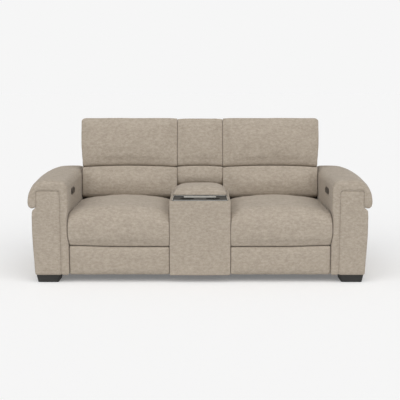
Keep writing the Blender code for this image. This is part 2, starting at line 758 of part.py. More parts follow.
def build_console():
    """The console between the seats: frame, padded cover, bin, cup tray, lid and hinge."""
    half = CONSOLE_WIDTH / 2 - RUN
    inner = half - CONSOLE_PADDING
    rear = CONSOLE_REAR
    front_wall = CONSOLE_FRONT + CONSOLE_PADDING
    corners = (arc((-half + CONSOLE_ROUND, CONSOLE_FRONT + CONSOLE_ROUND), CONSOLE_ROUND, 180, 270, 4)
               + arc((half - CONSOLE_ROUND, CONSOLE_FRONT + CONSOLE_ROUND), CONSOLE_ROUND, 270, 360, 4))
    outline = corners + [(half, rear), (inner, rear), (inner, front_wall), (-inner, front_wall),
                         (-inner, rear), (-half, rear)]
    add_node("console_cover", plate(plan_view, outline, [], BODY_BOTTOM, CONSOLE_TOP), "fabric")

    frame_half = inner - FIT
    frame_front = front_wall + FIT
    frame_top = CONSOLE_TOP - CONSOLE_FRAME_DROP
    cell_half = frame_half - CONSOLE_WALL
    divider = (TRAY_REAR + LID_FRONT) / 2
    cells = ((frame_front + CONSOLE_WALL, divider), (divider + CONSOLE_WALL, rear - CONSOLE_WALL))
    holes = []
    for low, high in cells:
        holes.append([(-cell_half, low), (cell_half, low), (cell_half, high), (-cell_half, high)])
    outline = [(-frame_half, frame_front), (frame_half, frame_front), (frame_half, rear), (-frame_half, rear)]
    frame = plate(plan_view, outline, holes, BASE_TOP + FIT, frame_top)
    add_node("console_frame", frame, "plywood")

    low, high = (-cell_half + RUN, cells[1][0] + RUN), (cell_half - RUN, cells[1][1] - RUN)
    inside = ((low[0] + BIN_WALL, low[1] + BIN_WALL), (high[0] - BIN_WALL, high[1] - BIN_WALL))
    brim = ((low[0] - BIN_FLANGE, low[1] - BIN_FLANGE), (high[0] + BIN_FLANGE, high[1] + BIN_FLANGE))
    brim_low = frame_top + FIT
    brim_top = brim_low + BIN_FLANGE_THICKNESS
    floor = brim_top - BIN_DEPTH
    inner_round = BIN_ROUND - BIN_WALL
    rings = [(rounded_rectangle(*inside, inner_round), floor + BIN_WALL),
             (rounded_rectangle(*inside, inner_round), brim_top),
             (rounded_rectangle(*brim, BIN_ROUND), brim_top),
             (rounded_rectangle(*brim, BIN_ROUND), brim_low),
             (rounded_rectangle(low, high, BIN_ROUND), brim_low),
             (rounded_rectangle(low, high, BIN_ROUND), floor)]
    add_node("storage_bin", loft(plan_view, rings), "black_plastic")

    build_tray(CONSOLE_TOP + FIT)
    build_lid(rear)
    build_console_back()


def build_tray(bottom):
    """The cup tray: a plate with a shallow recess and two deep cups."""
    top = bottom + TRAY_THICKNESS
    low, high = (-TRAY_WIDTH / 2, TRAY_FRONT), (TRAY_WIDTH / 2, TRAY_REAR)
    tray = plate(plan_view, rounded_rectangle(low, high, TRAY_ROUND), [], bottom, top)
    depth = (TRAY_FRONT + TRAY_REAR) / 2
    recess_low = (low[0] + TRAY_RIM, low[1] + TRAY_RIM)
    recess_high = (high[0] - TRAY_RIM, high[1] - TRAY_RIM)
    recess = plate(plan_view, rounded_rectangle(recess_low, recess_high, TRAY_ROUND - TRAY_RIM), [],
                   top - TRAY_RECESS, top + TRAY_THICKNESS)
    tray = cut(tray, recess)
    for side in (-1, 1):
        centre = (side * CUP_OFFSET, depth)
        outer = CUP_DIAMETER / 2 + CUP_WALL
        cup = plate(plan_view, circle(centre, outer, 2 * ROUND_STEPS), [], top - CUP_DEPTH - CUP_WALL,
                    bottom + TRAY_THICKNESS / 4)
        well = plate(plan_view, circle(centre, CUP_DIAMETER / 2, 2 * ROUND_STEPS), [], top - CUP_DEPTH,
                     top + TRAY_THICKNESS)
        tray = cut(unite(tray, cup), well)
    add_node("cup_tray", tray, "tray_plastic")


def build_lid(rear):
    """The bin's padded lid, on a hinge along its rear edge."""
    hinge_height = CONSOLE_TOP + FIT + LID_BOARD / 2
    hinge_depth = LID_REAR + RUN + LID_HINGE_RADIUS
    axis = add_pivot("lid_axis", (0.0, world_y(hinge_depth), hinge_height))
    bottom = CONSOLE_TOP + FIT
    low, high = (-LID_WIDTH / 2, LID_FRONT), (LID_WIDTH / 2, LID_REAR)
    board = plate(plan_view, rounded_rectangle(low, high, LID_ROUND / 2), [], bottom, bottom + LID_BOARD)
    add_node("lid_board", board, "plywood", axis)
    pad_bottom = bottom + LID_BOARD + FIT
    pad_low = (low[0], world_y(low[1]), pad_bottom)
    pad_high = (high[0], world_y(high[1]), pad_bottom + LID_PADDING)
    pad = cushion(pad_low, pad_high, LID_PADDING / 2 - FIT, (8, 6, 1),
                  crowned(2, 1, LID_CROWN, CUSHION_TUCK / 2, (0, 1), LID_CROWN_POWER))
    add_node("lid_pad", pad, "fabric", axis)

    knuckle = pin(side_view, (hinge_depth, hinge_height), LID_HINGE_RADIUS, -LID_HINGE_LENGTH / 2,
                  LID_HINGE_LENGTH / 2)
    leaf_top = hinge_height
    leaf_bottom = CONSOLE_TOP - BIN_DEPTH / 6
    leaf = block(side_view, (rear + FIT, leaf_bottom), (rear + FIT + LID_HINGE_LEAF, leaf_top),
                 -LID_HINGE_LENGTH / 2 + FIT, LID_HINGE_LENGTH / 2 - FIT)
    add_node("lid_hinge", unite(knuckle, leaf), "zinc_steel")


def raked_to_side(normal, rise):
    """Depth and height of a point in the frame of a back."""
    depth = BACK_PIVOT_DEPTH + math.sin(BACK_RAKE) * rise + math.cos(BACK_RAKE) * normal
    return depth, BACK_PIVOT_HEIGHT + math.cos(BACK_RAKE) * rise - math.sin(BACK_RAKE) * normal


def front_at_height(normal, height):
    """Where a raked plane, `normal` behind the pivot, stands at a height."""
    rise = (height - BACK_PIVOT_HEIGHT + math.sin(BACK_RAKE) * normal) / math.cos(BACK_RAKE)
    return raked_to_side(normal, rise)


def build_console_back():
    """The fixed back behind the console: a post with its rear padding, and two cushions."""
    half = CONSOLE_BACK_WIDTH / 2
    panel_front = LUMBAR_REAR + FIT
    top_middle = (CONSOLE_BACK_REAR - CUSHION_ROUND, CONSOLE_BACK_TOP - CUSHION_ROUND)
    top_round = arc(top_middle, CUSHION_ROUND, 0, 90)
    raked = [(CONSOLE_BACK_REAR, CONSOLE_BACK_FOOT)] + top_round + [(panel_front, CONSOLE_BACK_TOP)]
    outline = [raked_to_side(normal, rise) for normal, rise in raked]
    ledge_bottom = CONSOLE_LEDGE_TOP - CONSOLE_LEDGE_THICKNESS
    ledge_front = CONSOLE_REAR + LID_HINGE_LEAF + 2 * RUN
    outline += [front_at_height(panel_front, CONSOLE_LEDGE_TOP), (ledge_front, CONSOLE_LEDGE_TOP),
                (ledge_front, ledge_bottom), front_at_height(panel_front, ledge_bottom)]
    outline += [(CONSOLE_POST_FRONT, BASE_TOP + FIT), (CONSOLE_POST_REAR, BASE_TOP + FIT),
                (CONSOLE_POST_REAR, REAR_RAIL_TOP + CONSOLE_POST_GAP)]
    edge = CONSOLE_BACK_SIDE_ROUND
    sections = []
    for shrink, across in ((edge, -half), (0.0, -half + edge), (0.0, half - edge), (edge, half)):
        sections.append((inset(outline, shrink), across))
    add_node("console_back_panel", loft(side_view, sections), "fabric")

    tilt = add_pivot("console_back_rake", (0.0, world_y(BACK_PIVOT_DEPTH), BACK_PIVOT_HEIGHT), -BACK_RAKE)
    shape = crowned(1, -1, CONSOLE_BACK_CROWN, CUSHION_TUCK, (0,))
    rows = (("console_back_lower_cushion", CONSOLE_BACK_LOW, LUMBAR_TOP, 2),
            ("console_back_upper_cushion", HEADREST_BOTTOM, CONSOLE_BACK_TOP, 3))
    for name, bottom, top, spans in rows:
        pad = cushion((-half, CONSOLE_BACK_FRONT, bottom), (half, LUMBAR_REAR, top), CUSHION_ROUND,
                      (3, 1, spans), shape, CUSHION_FIRMNESS)
        add_node(name, pad, "fabric", tilt, raked=True)


def seat_profile(crown, shrink):
    """Side view of a seat cushion: deck, rear, crowned top, waterfall front and apron."""
    top = SEAT_EDGE_HEIGHT - shrink
    end_top = top + crown * (1 - CROWN_SPREAD)
    front = shrink / 2
    radius = SEAT_FRONT_RADIUS
    rear = SEAT_DEPTH
    apron_bottom = FOOTREST_TOP + FOOTREST_GAP + shrink / 4
    points = [(rear, SEAT_DECK)]
    points += arc((rear - SEAT_REAR_RADIUS, end_top - SEAT_REAR_RADIUS), SEAT_REAR_RADIUS, 0, 90, 3)
    span = rear - SEAT_REAR_RADIUS - front - radius
    for share in CROWN_LINES:
        swell = crown * (1 - CROWN_SPREAD * (2 * share - 1) ** 2)
        points.append((rear - SEAT_REAR_RADIUS - span * share, top + swell))
    points += arc((front + radius, end_top - radius), radius, 90, 180, 5)
    points += [(front + across, apron_bottom + up) for across, up in SEAT_HEM]
    points += [(SEAT_APRON - SEAT_APRON_ROUND, apron_bottom), (SEAT_APRON, apron_bottom + SEAT_APRON_ROUND),
               (SEAT_APRON, SEAT_DECK)]
    return points


def both_ways(stops):
    """Places on both sides of a middle, from one end to the other."""
    return sorted({way * stop for stop in stops for way in (-1, 1)})


def build_seat_cushion(hand, centre):
    """A seat cushion with a crown across its width and sides that draw in."""
    sections = []
    shrinks = {1.0: SEAT_SIDE_ROUND, SEAT_EDGE_SECTION: SEAT_SIDE_ROUND / 4}
    for stop in both_ways(SEAT_SECTIONS + tuple(shrinks)):
        outline = seat_profile(SEAT_CROWN * (1 - stop ** 2), shrinks.get(abs(stop), 0.0))
        sections.append((outline, centre + stop * SEAT_HALF))
    add_node(hand + "_seat_cushion", loft(side_view, sections), "fabric")


def build_seat_frame(hand, centre):
    """The seat's steel box: rails around the springs, and side plates that carry the links."""
    rear = SEAT_DEPTH
    rail_low = SEAT_FRAME_TOP - RAIL_HEIGHT
    outer = PLATE_OFFSET + PLATE / 2 + SEAT_FRAME_OVERHANG
    solid = None
    for front in (SEAT_FRAME_FRONT, rear - RAIL_WIDTH):
        rail = block(side_view, (front, rail_low), (front + RAIL_WIDTH, SEAT_FRAME_TOP), centre - outer,
                     centre + outer)
        solid = unite(solid, rail) if solid else rail
    lug = arc((BACK_PIVOT_DEPTH, BACK_PIVOT_HEIGHT), HINGE_LUG, -90, 150, 6)
    plate_top = SEAT_FRAME_TOP - 2 * RUN
    outline = [(BASE_FRONT, BASE_TOP + FIT), (BACK_PIVOT_DEPTH, BASE_TOP + FIT)]
    outline += lug + [(rear - RAIL_WIDTH / 2, plate_top), (SEAT_FRAME_FRONT + RAIL_WIDTH / 3, plate_top),
                      (SEAT_FRAME_FRONT + RAIL_WIDTH / 3, rail_low)]
    window_low = (BASE_FRONT + 2 * PLATE_RIM, BASE_TOP + PLATE_RIM)
    window_high = (SEAT_DEPTH - PLATE_RIM, LINK_B_FIXED[1] - PLATE_RIM)
    hinge_hole = (HINGE_PIN + RUN) / math.cos(math.pi / ROUND_STEPS)
    holes = [rounded_rectangle(window_low, window_high, PLATE_RIM),
             circle((BACK_PIVOT_DEPTH, BACK_PIVOT_HEIGHT), hinge_hole),
             circle(LINK_A_FIXED, HOLE), circle(LINK_B_FIXED, HOLE)]
    for way in (-1, 1):
        middle = centre + way * PLATE_OFFSET
        side_plate = plate(side_view, outline, holes, middle - PLATE / 2, middle + PLATE / 2)
        edges = sorted((middle + way * PLATE / 6, centre + way * (outer - FIT)))
        side_rail = block(side_view, (SEAT_FRAME_FRONT + RAIL_WIDTH / 2, SEAT_FRAME_TOP - SIDE_RAIL_HEIGHT),
                          (rear - RAIL_WIDTH / 2, SEAT_FRAME_TOP - RUN), *edges)
        solid = unite(solid, side_plate, side_rail)
    add_node(hand + "_seat_frame", solid, "painted_steel")


def build_springs(hand, centre):
    """One serpentine spring that runs between the front and rear rails."""
    half = PLATE_OFFSET - RAIL_WIDTH
    front = SEAT_FRAME_FRONT + RAIL_WIDTH / 2
    rear = SEAT_DEPTH - RAIL_WIDTH / 2
    pitch = 2 * half / SPRING_RUNS
    radius = pitch / 2
    path = []
    for run in range(SPRING_RUNS + 1):
        across = centre - half + run * pitch
        ends = (front, rear) if run % 2 == 0 else (rear, front)
        path.append((across, ends[0]))
        path.append((across, ends[1]))
    data = bpy.data.curves.new(hand + "_seat_springs", "CURVE")
    data.dimensions = "3D"
    data.bevel_depth = SPRING_WIRE / 2
    data.bevel_resolution = 0
    data.use_fill_caps = True
    spline = data.splines.new("POLY")
    points = []
    for index, (across, depth) in enumerate(path):
        points.append((across, depth))
        last_of_run = index % 2 == 1 and index + 1 < len(path)
        if last_of_run:
            way = 1 if path[index][1] > path[index - 1][1] else -1
            bow = min(radius, RAIL_WIDTH / 2 - SPRING_WIRE)
            points.append((across + radius, depth + way * bow))
    spline.points.add(len(points) - 1)
    for point, (across, depth) in zip(spline.points, points):
        point.co = (across, world_y(depth), SPRING_HEIGHT, 1.0)
    wire = bpy.data.objects.new(hand + "_spring_path", data)
    bpy.context.scene.collection.objects.link(wire)
    bm = bmesh.new()
    bm.from_mesh(wire.evaluated_get(bpy.context.evaluated_depsgraph_get()).to_mesh())
    bmesh.ops.remove_doubles(bm, verts=bm.verts[:], dist=1e-6)
    bpy.data.objects.remove(wire)
    bpy.data.curves.remove(data)
    low = SPRING_HEIGHT - SPRING_WIRE / 2
    for vert in bm.verts:
        vert.co.z = max(low, min(low + SPRING_WIRE, vert.co.z))
    add_node(hand + "_seat_springs", bm, "zinc_steel")


def link_pair(centre, plane, outline, holes=()):
    """Two like flat links, one on each side of a seat."""
    pair = []
    for way in (-1, 1):
        middle = centre + way * plane
        faces = (middle - LINK_THICKNESS / 2, middle + LINK_THICKNESS / 2)
        pair.append(plate(side_view, outline, holes, *faces))
    return pair


def stub_pair(centre, place, radius, start, end):
    """Two like pins, one on each side of a seat, between two offsets from its middle."""
    stubs = []
    for way in (-1, 1):
        ends = sorted((centre + way * start, centre + way * end))
        stubs.append(pin(side_view, place, radius, *ends))
    return stubs


def cross_shaft(centre, place, reach):
    return pin(side_view, place, SHAFT, centre - reach, centre + reach)


def pivot_at(name, centre, place):
    return add_pivot(name, (centre, world_y(place[0]), place[1]))


def crank_tip():
    """Where the crank on link B's shaft holds its roller, folded."""
    return (LINK_B_FIXED[0] + CRANK_REACH * math.sin(CRANK_ANGLE),
            LINK_B_FIXED[1] - CRANK_REACH * math.cos(CRANK_ANGLE))


def build_links(hand, centre):
    """The four pairs of links that carry the footrest, each pair on its cross shaft."""
    inner_play = LINK_THICKNESS / 2 + LINK_RIVET
    axis = pivot_at(hand + "_link_a_axis", centre, LINK_A_FIXED)
    bars = link_pair(centre, PLANE_A, bar((LINK_A_FIXED, LINK_A_BEND, LINK_A_C), LINK_HALF))
    pins = stub_pair(centre, LINK_A_C, SHAFT, PLANE_A, PLANE_C - inner_play)
    link = unite(*bars, cross_shaft(centre, LINK_A_FIXED, SHAFT_END), *pins)
    add_node(hand + "_rear_lift_link", link, "zinc_steel", axis)

    axis = pivot_at(hand + "_link_b_axis", centre, LINK_B_FIXED)
    bars = link_pair(centre, PLANE_B, bar((LINK_B_FIXED, LINK_B_C), LINK_HALF))
    ears = []
    for way in (-1, 1):
        middle = centre + way * PLANE_B
        thin = LINK_THICKNESS / 2 - FIT
        ears.append(plate(side_view, bar((LINK_B_C, LINK_B_D), LINK_HALF), [], middle - thin, middle + thin))
    pins = stub_pair(centre, LINK_B_D, SHAFT, PLANE_B, PLANE_D - inner_play)
    tip = crank_tip()
    crank = plate(side_view, bar((LINK_B_FIXED, tip), LINK_HALF), [], centre - CRANK_THICKNESS / 2,
                  centre + CRANK_THICKNESS / 2)
    roller = pin(side_view, tip, SHAFT, centre, centre + CRANK_THICKNESS + FORK_WIDTH)
    shaft = cross_shaft(centre, LINK_B_FIXED, SHAFT_END)
    add_node(hand + "_front_lift_link", unite(*bars, *ears, shaft, *pins, crank, roller), "zinc_steel", axis)

    axis = pivot_at(hand + "_link_c_axis", centre, LINK_A_C)
    bars = link_pair(centre, PLANE_C, bar((LINK_A_C, LINK_C_FOOTREST), LINK_HALF), [circle(LINK_A_C, HOLE)])
    rivets = stub_pair(centre, LINK_B_C, RIVET_HEAD, PLANE_C, PLANE_C - inner_play)
    link = unite(*bars, cross_shaft(centre, LINK_C_FOOTREST, PLANE_C), *rivets)
    add_node(hand + "_long_footrest_link", link, "zinc_steel", axis)

    axis = pivot_at(hand + "_link_d_axis", centre, LINK_B_D)
    bars = link_pair(centre, PLANE_D, bar((LINK_B_D, LINK_D_FOOTREST), LINK_HALF), [circle(LINK_B_D, HOLE)])
    rivets = stub_pair(centre, LINK_D_FOOTREST, RIVET_HEAD, PLANE_D, PLANE_D + inner_play)
    link = unite(*bars, cross_shaft(centre, LINK_D_FOOTREST, PLANE_D), *rivets)
    add_node(hand + "_short_footrest_link", link, "zinc_steel", axis)


def build_footrest(hand, centre):
    """The footrest: a padded panel on a board with two link brackets."""
    axis = pivot_at(hand + "_footrest_axis", centre, LINK_C_FOOTREST)
    low = (centre - SEAT_HALF, world_y(FOOTREST_CROWN), BODY_BOTTOM)
    high = (centre + SEAT_HALF, world_y(FOOTREST_THICKNESS), FOOTREST_TOP)
    shape = crowned(1, -1, FOOTREST_CROWN, CUSHION_TUCK / 2, (0,))
    pad = cushion(low, high, FOOTREST_ROUND, (5, 1, 1), shape)
    add_node(hand + "_footrest_pad", pad, "fabric", axis)

    front = FOOTREST_THICKNESS + FIT
    rear = front + FOOTREST_BOARD
    board_low = (centre - SEAT_HALF + FOOTREST_BOARD_MARGIN, BODY_BOTTOM + FOOTREST_BOARD_MARGIN)
    board_high = (centre + SEAT_HALF - FOOTREST_BOARD_MARGIN, FOOTREST_TOP - FOOTREST_BOARD_MARGIN)
    board_outline = rounded_rectangle(board_low, board_high, FOOTREST_BOARD_MARGIN)
    board = plate(front_view, board_outline, [], front, rear)
    seat_edge = rear - FOOTREST_BOARD / 3
    outline = hull(circle(LINK_C_FOOTREST, BRACKET_LUG) + circle(LINK_D_FOOTREST, BRACKET_LUG)
                   + [(seat_edge, board_low[1] + FOOTREST_BOARD_MARGIN),
                      (seat_edge, board_high[1] - FOOTREST_BOARD_MARGIN)])
    brackets = link_pair(centre, PLANE_B, outline, [circle(LINK_C_FOOTREST, HOLE)])
    add_node(hand + "_footrest_board", unite(board, *brackets), "painted_steel", axis)


def build_drive(hand, centre):
    """The power drive under a seat: motor, gearbox and rail, with a forked carriage on the rail."""
    rail_half = DRIVE_RAIL_WIDTH / 2
    rail_top = DRIVE_RAIL_BOTTOM + DRIVE_RAIL_HEIGHT
    rail = block(front_view, (centre - rail_half, DRIVE_RAIL_BOTTOM), (centre + rail_half, rail_top),
                 DRIVE_RAIL_FRONT, GEARBOX_FRONT + GEARBOX_LENGTH / 2)
    box_low = (centre - GEARBOX_WIDTH / 2, BASE_TOP + FIT)
    box_high = (centre + GEARBOX_WIDTH / 2, rail_top + CARRIAGE_WALL)
    gearbox = plate(front_view, rounded_rectangle(box_low, box_high, CARRIAGE_WALL), [], GEARBOX_FRONT,
                    GEARBOX_FRONT + GEARBOX_LENGTH)
    motor_height = BASE_TOP + MOTOR_RADIUS + FIT
    motor = plate(front_view, circle((centre, motor_height), MOTOR_RADIUS, 2 * ROUND_STEPS), [],
                  GEARBOX_FRONT - MOTOR_LENGTH, GEARBOX_FRONT + GEARBOX_LENGTH / 2)
    add_node(hand + "_recline_drive", unite(gearbox, rail, motor), "black_plastic")

    tip = crank_tip()
    wall = CARRIAGE_WALL
    axis = pivot_at(hand + "_carriage_axis", centre, (tip[0], (DRIVE_RAIL_BOTTOM + rail_top) / 2))
    low = (centre - rail_half - wall, DRIVE_RAIL_BOTTOM - wall)
    high = (centre + rail_half + wall, rail_top + wall)
    tunnel_low = (centre - rail_half - RUN, DRIVE_RAIL_BOTTOM - RUN)
    tunnel_high = (centre + rail_half + RUN, rail_top + RUN)
    tunnel = [tunnel_low, (tunnel_high[0], tunnel_low[1]), tunnel_high, (tunnel_low[0], tunnel_high[1])]
    carriage = plate(front_view, rounded_rectangle(low, high, wall / 2), [tunnel],
                     tip[0] - CARRIAGE_LENGTH / 2, tip[0] + CARRIAGE_LENGTH / 2)
    fork_inner = centre + CRANK_THICKNESS / 2 + LINK_RIVET
    for way in (-1, 1):
        inner = tip[0] + way * (SHAFT + FORK_PLAY)
        edges = sorted((inner, inner + way * FORK_PRONG))
        prong = block(side_view, (edges[0], high[1] - wall / 2), (edges[1], tip[1] + FORK_OVERREACH),
                      fork_inner, fork_inner + FORK_WIDTH)
        carriage = unite(carriage, prong)
    add_node(hand + "_drive_carriage", carriage, "zinc_steel", axis)


def build_back(side, hand, centre):
    """A reclining back: frame on its hinge, lumbar and rear upholstery, and the tilting headrest."""
    axis = add_pivot(hand + "_back_axis", (0.0, world_y(BACK_PIVOT_DEPTH), BACK_PIVOT_HEIGHT), -BACK_RAKE)
    inner, outer = sorted((centre - side * BACK_INNER, centre + side * BACK_OUTER))
    build_back_frame(hand, centre, inner, outer, axis)

    lumbar = cushion((inner, LUMBAR_FRONT, LUMBAR_BOTTOM), (outer, LUMBAR_REAR, LUMBAR_TOP), CUSHION_ROUND,
                     (5, 1, 2), crowned(1, -1, LUMBAR_CROWN, CUSHION_TUCK, (0,)), CUSHION_FIRMNESS)
    add_node(hand + "_lumbar_cushion", lumbar, "fabric", axis, raked=True)

    add_node(hand + "_back_panel", back_padding(inner, outer), "fabric", axis, raked=True)
    build_headrest(side, hand, centre, inner, outer, axis)


def back_profile(crown):
    """Side view of the rear upholstery, which turns over the top edge of the back's frame."""
    radius = BACK_PANEL_ROUND
    low, high = BACK_PANEL_BOTTOM + radius, BACK_PANEL_TOP - radius
    lip = BACK_FRAME_TOP + FIT
    lip_radius = (BACK_PANEL_TOP - lip) / 2
    points = [(BACK_PANEL_FRONT, BACK_PANEL_BOTTOM)] + arc((BACK_PANEL_REAR - radius, low), radius, -90, 0, 3)
    for share in CROWN_LINES:
        points.append((BACK_PANEL_REAR + crown * (1 - (2 * share - 1) ** 2), low + (high - low) * share))
    points += arc((BACK_PANEL_REAR - radius, high), radius, 0, 90, 3)
    points += arc((BACK_FRAME_FRONT + lip_radius, BACK_PANEL_TOP - lip_radius), lip_radius, 90, 180, 3)
    return points + [(BACK_FRAME_FRONT + RUN, lip), (BACK_PANEL_FRONT, lip)]


def back_padding(inner, outer):
    """The upholstery on the rear of a back, crowned and rounded at its sides."""
    middle, half = (inner + outer) / 2, (outer - inner) / 2
    sections = []
    for stop in both_ways(BACK_SECTIONS):
        share = max(0.0, (abs(stop) - BACK_FLAT) / (1 - BACK_FLAT))
        outline = inset(back_profile(BACK_PANEL_CROWN * (1 - stop ** 2)), BACK_SIDE_ROUND * share ** 3)
        sections.append((outline, middle + stop * half))
    return loft(raked_side, sections)


def back_reach():
    """How far behind the front face the rear upholstery reaches."""
    padding = back_padding(-BACK_INNER, BACK_OUTER)
    reach = max(raked_to_side(vert.co.y, vert.co.z)[0] for vert in padding.verts)
    padding.free()
    return reach


def build_back_frame(hand, centre, inner, outer, axis):
    """A plywood panel with two windows, hinge plates at its foot and the headrest's hinge arms."""
    rear = BACK_FRAME_FRONT + BACK_FRAME_THICKNESS
    low, high = (inner, BACK_FRAME_BOTTOM), (outer, BACK_FRAME_TOP)
    middle = HEADREST_PIVOT_RISE
    post = (inner + outer) / 2
    bays = ((inner + 2 * BACK_FRAME_RAIL, post - BACK_FRAME_RAIL / 2),
            (post + BACK_FRAME_RAIL / 2, outer - 2 * BACK_FRAME_RAIL))
    rows = ((low[1] + 2 * BACK_FRAME_RAIL, middle - BACK_FRAME_RAIL / 2),
            (middle + BACK_FRAME_RAIL / 2, high[1] - BACK_FRAME_RAIL))
    windows = []
    for left, right in bays:
        for bottom, top in rows:
            windows.append(rounded_rectangle((left, bottom), (right, top), BACK_FRAME_RAIL / 2, 2))
    outline = [low, (high[0], low[1]), high, (low[0], high[1])]
    frame = plate(raked_front, outline, windows, BACK_FRAME_FRONT, rear)

    root = BACK_FRAME_FRONT + BACK_FRAME_THICKNESS / 3
    hinge_start = PLATE_OFFSET + PLATE / 2 + LINK_RIVET + 2 * RUN
    hinge_plate = hull(circle((0.0, 0.0), HINGE_LUG)
                       + [(root, BACK_FRAME_BOTTOM + RUN), (root, BACK_FRAME_BOTTOM + 3 * BACK_FRAME_RAIL)])
    arm_path = ((HEADREST_PIVOT_NORMAL, HEADREST_PIVOT_RISE), (root, HEADREST_PIVOT_RISE))
    for way in (-1, 1):
        edges = sorted((centre + way * hinge_start, centre + way * (hinge_start + PLATE)))
        leaf = plate(raked_side, hinge_plate, [], *edges)
        pin_start = PLATE_OFFSET - PLATE / 2 - LINK_RIVET / 2
        ends = sorted((centre + way * pin_start, centre + way * (hinge_start + PLATE / 2)))
        hinge_pin = pin(raked_side, (0.0, 0.0), HINGE_PIN, *ends)
        arm_middle = centre + way * HEADREST_ARM_OFFSET
        arm = plate(raked_side, bar(arm_path, HEADREST_ARM_HALF), [], arm_middle - PLATE / 2,
                    arm_middle + PLATE / 2)
        ends = sorted((arm_middle, arm_middle + way * (2 * PLATE + LINK_RIVET)))
        arm_pin = pin(raked_side, arm_path[0], HINGE_PIN, *ends)
        frame = unite(frame, leaf, hinge_pin, arm, arm_pin)
    add_node(hand + "_back_frame", frame, "plywood", axis, raked=True)


def build_headrest(side, hand, centre, inner, outer, axis):
    """The headrest: a cushion on a board whose arms turn on pins low in the back."""
    tilt = add_pivot(hand + "_headrest_axis", (0.0, HEADREST_PIVOT_NORMAL, HEADREST_PIVOT_RISE), 0.0, axis)
    crown = crowned(1, -1, HEADREST_CROWN, CUSHION_TUCK / 2, (0,))

    def shape(point, place):
        moved = crown(point, place)
        if place.x * side > 0:
            rise = (point.z - HEADREST_FLARE_START) / HEADREST_FLARE_LENGTH
            moved.x += side * HEADREST_FLARE * max(0.0, min(1.0, rise)) * abs(place.x) ** 2
        return moved

    pad = cushion((inner, HEADREST_FRONT, HEADREST_BOTTOM), (outer, HEADREST_REAR, HEADREST_TOP),
                  CUSHION_ROUND, (4, 1, 3), shape, CUSHION_FIRMNESS)
    slot_top = HEADREST_PIVOT_RISE + 2 * HEADREST_ARM_HALF
    slot_front = HEADREST_PIVOT_NORMAL - HEADREST_ARM_HALF - HEADREST_SLOT_PLAY
    hole = (HINGE_PIN + RUN) / math.cos(math.pi / ROUND_STEPS)
    arm_end = (HEADREST_REAR + HEADREST_BOARD / 3, HEADREST_PIVOT_RISE)
    path = ((HEADREST_PIVOT_NORMAL, HEADREST_PIVOT_RISE), arm_end)
    hinge_arms = []
    for way in (-1, 1):
        fixed = centre + way * HEADREST_ARM_OFFSET
        edges = sorted((fixed - way * PLATE, fixed + way * (3 * PLATE + LINK_RIVET)))
        slot = block(raked_side, (slot_front, HEADREST_BOTTOM - CUSHION_ROUND),
                     (HEADREST_REAR + CUSHION_ROUND, slot_top), *edges)
        pad = cut(pad, slot)
        start = fixed + way * (PLATE / 2 + LINK_RIVET / 2)
        ends = sorted((start, start + way * PLATE))
        hinge_arms.append(plate(raked_side, bar(path, HEADREST_ARM_HALF), [circle(path[0], hole)], *ends))
    add_headrest_node(hand + "_headrest_cushion", pad, "fabric", tilt)

    front = HEADREST_REAR + FIT
    low = (inner + HEADREST_BOARD_MARGIN, HEADREST_BOTTOM + HEADREST_ARM_HALF / 2)
    high = (outer - HEADREST_BOARD_MARGIN, HEADREST_TOP - HEADREST_BOARD_MARGIN)
    outline = rounded_rectangle(low, high, HEADREST_ARM_HALF)
    board = plate(raked_front, outline, [], front, front + HEADREST_BOARD)
    gaps = []
    for way in (-1, 1):
        fixed = centre + way * HEADREST_ARM_OFFSET
        half = (PLATE + LINK_RIVET) / 2
        gaps.append(block(raked_side, (front - PLATE, HEADREST_BOTTOM - PLATE),
                          (front + 2 * HEADREST_BOARD, slot_top), fixed - half, fixed + half))
    add_headrest_node(hand + "_headrest_frame", unite(cut(board, *gaps), *hinge_arms), "plywood", tilt)


def add_headrest_node(name, bm, finish, tilt):
    """A node drawn in its back's frame and carried by the headrest's own axis."""
    bmesh.ops.transform(bm, matrix=Matrix.Translation(-tilt.location), verts=bm.verts[:])
    add_node(name, bm, finish, tilt, raked=True)


def build_seat(side, hand):
    centre = side * SEAT_CENTRE
    build_seat_frame(hand, centre)
    build_springs(hand, centre)
    build_seat_cushion(hand, centre)
    build_links(hand, centre)
    build_footrest(hand, centre)
    build_drive(hand, centre)
    build_back(side, hand, centre)


def main():
    clear_scene()
    build_base()
    build_console()
    for side, hand in ((-1, "left"), (1, "right")):
        build_arm(side, hand)
        build_seat(side, hand)


OVERALL_DEPTH = back_reach()
main()
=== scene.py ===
# %% [markdown]
# # A reclining loveseat with a console, dressed for its portrait
#
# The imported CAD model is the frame: hinges, links, boards and the plain solids of the padding.
# This lesson puts upholstery, finishes, floor, light and camera around it. Every piece rides on one of the
# frame's bodies, so the same file also looks right with a seat reclined or the console lid open.

# %% Load the frame
import json
import math

import bmesh
import bpy
import numpy as np
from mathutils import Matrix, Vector, noise
from mathutils.bvhtree import BVHTree

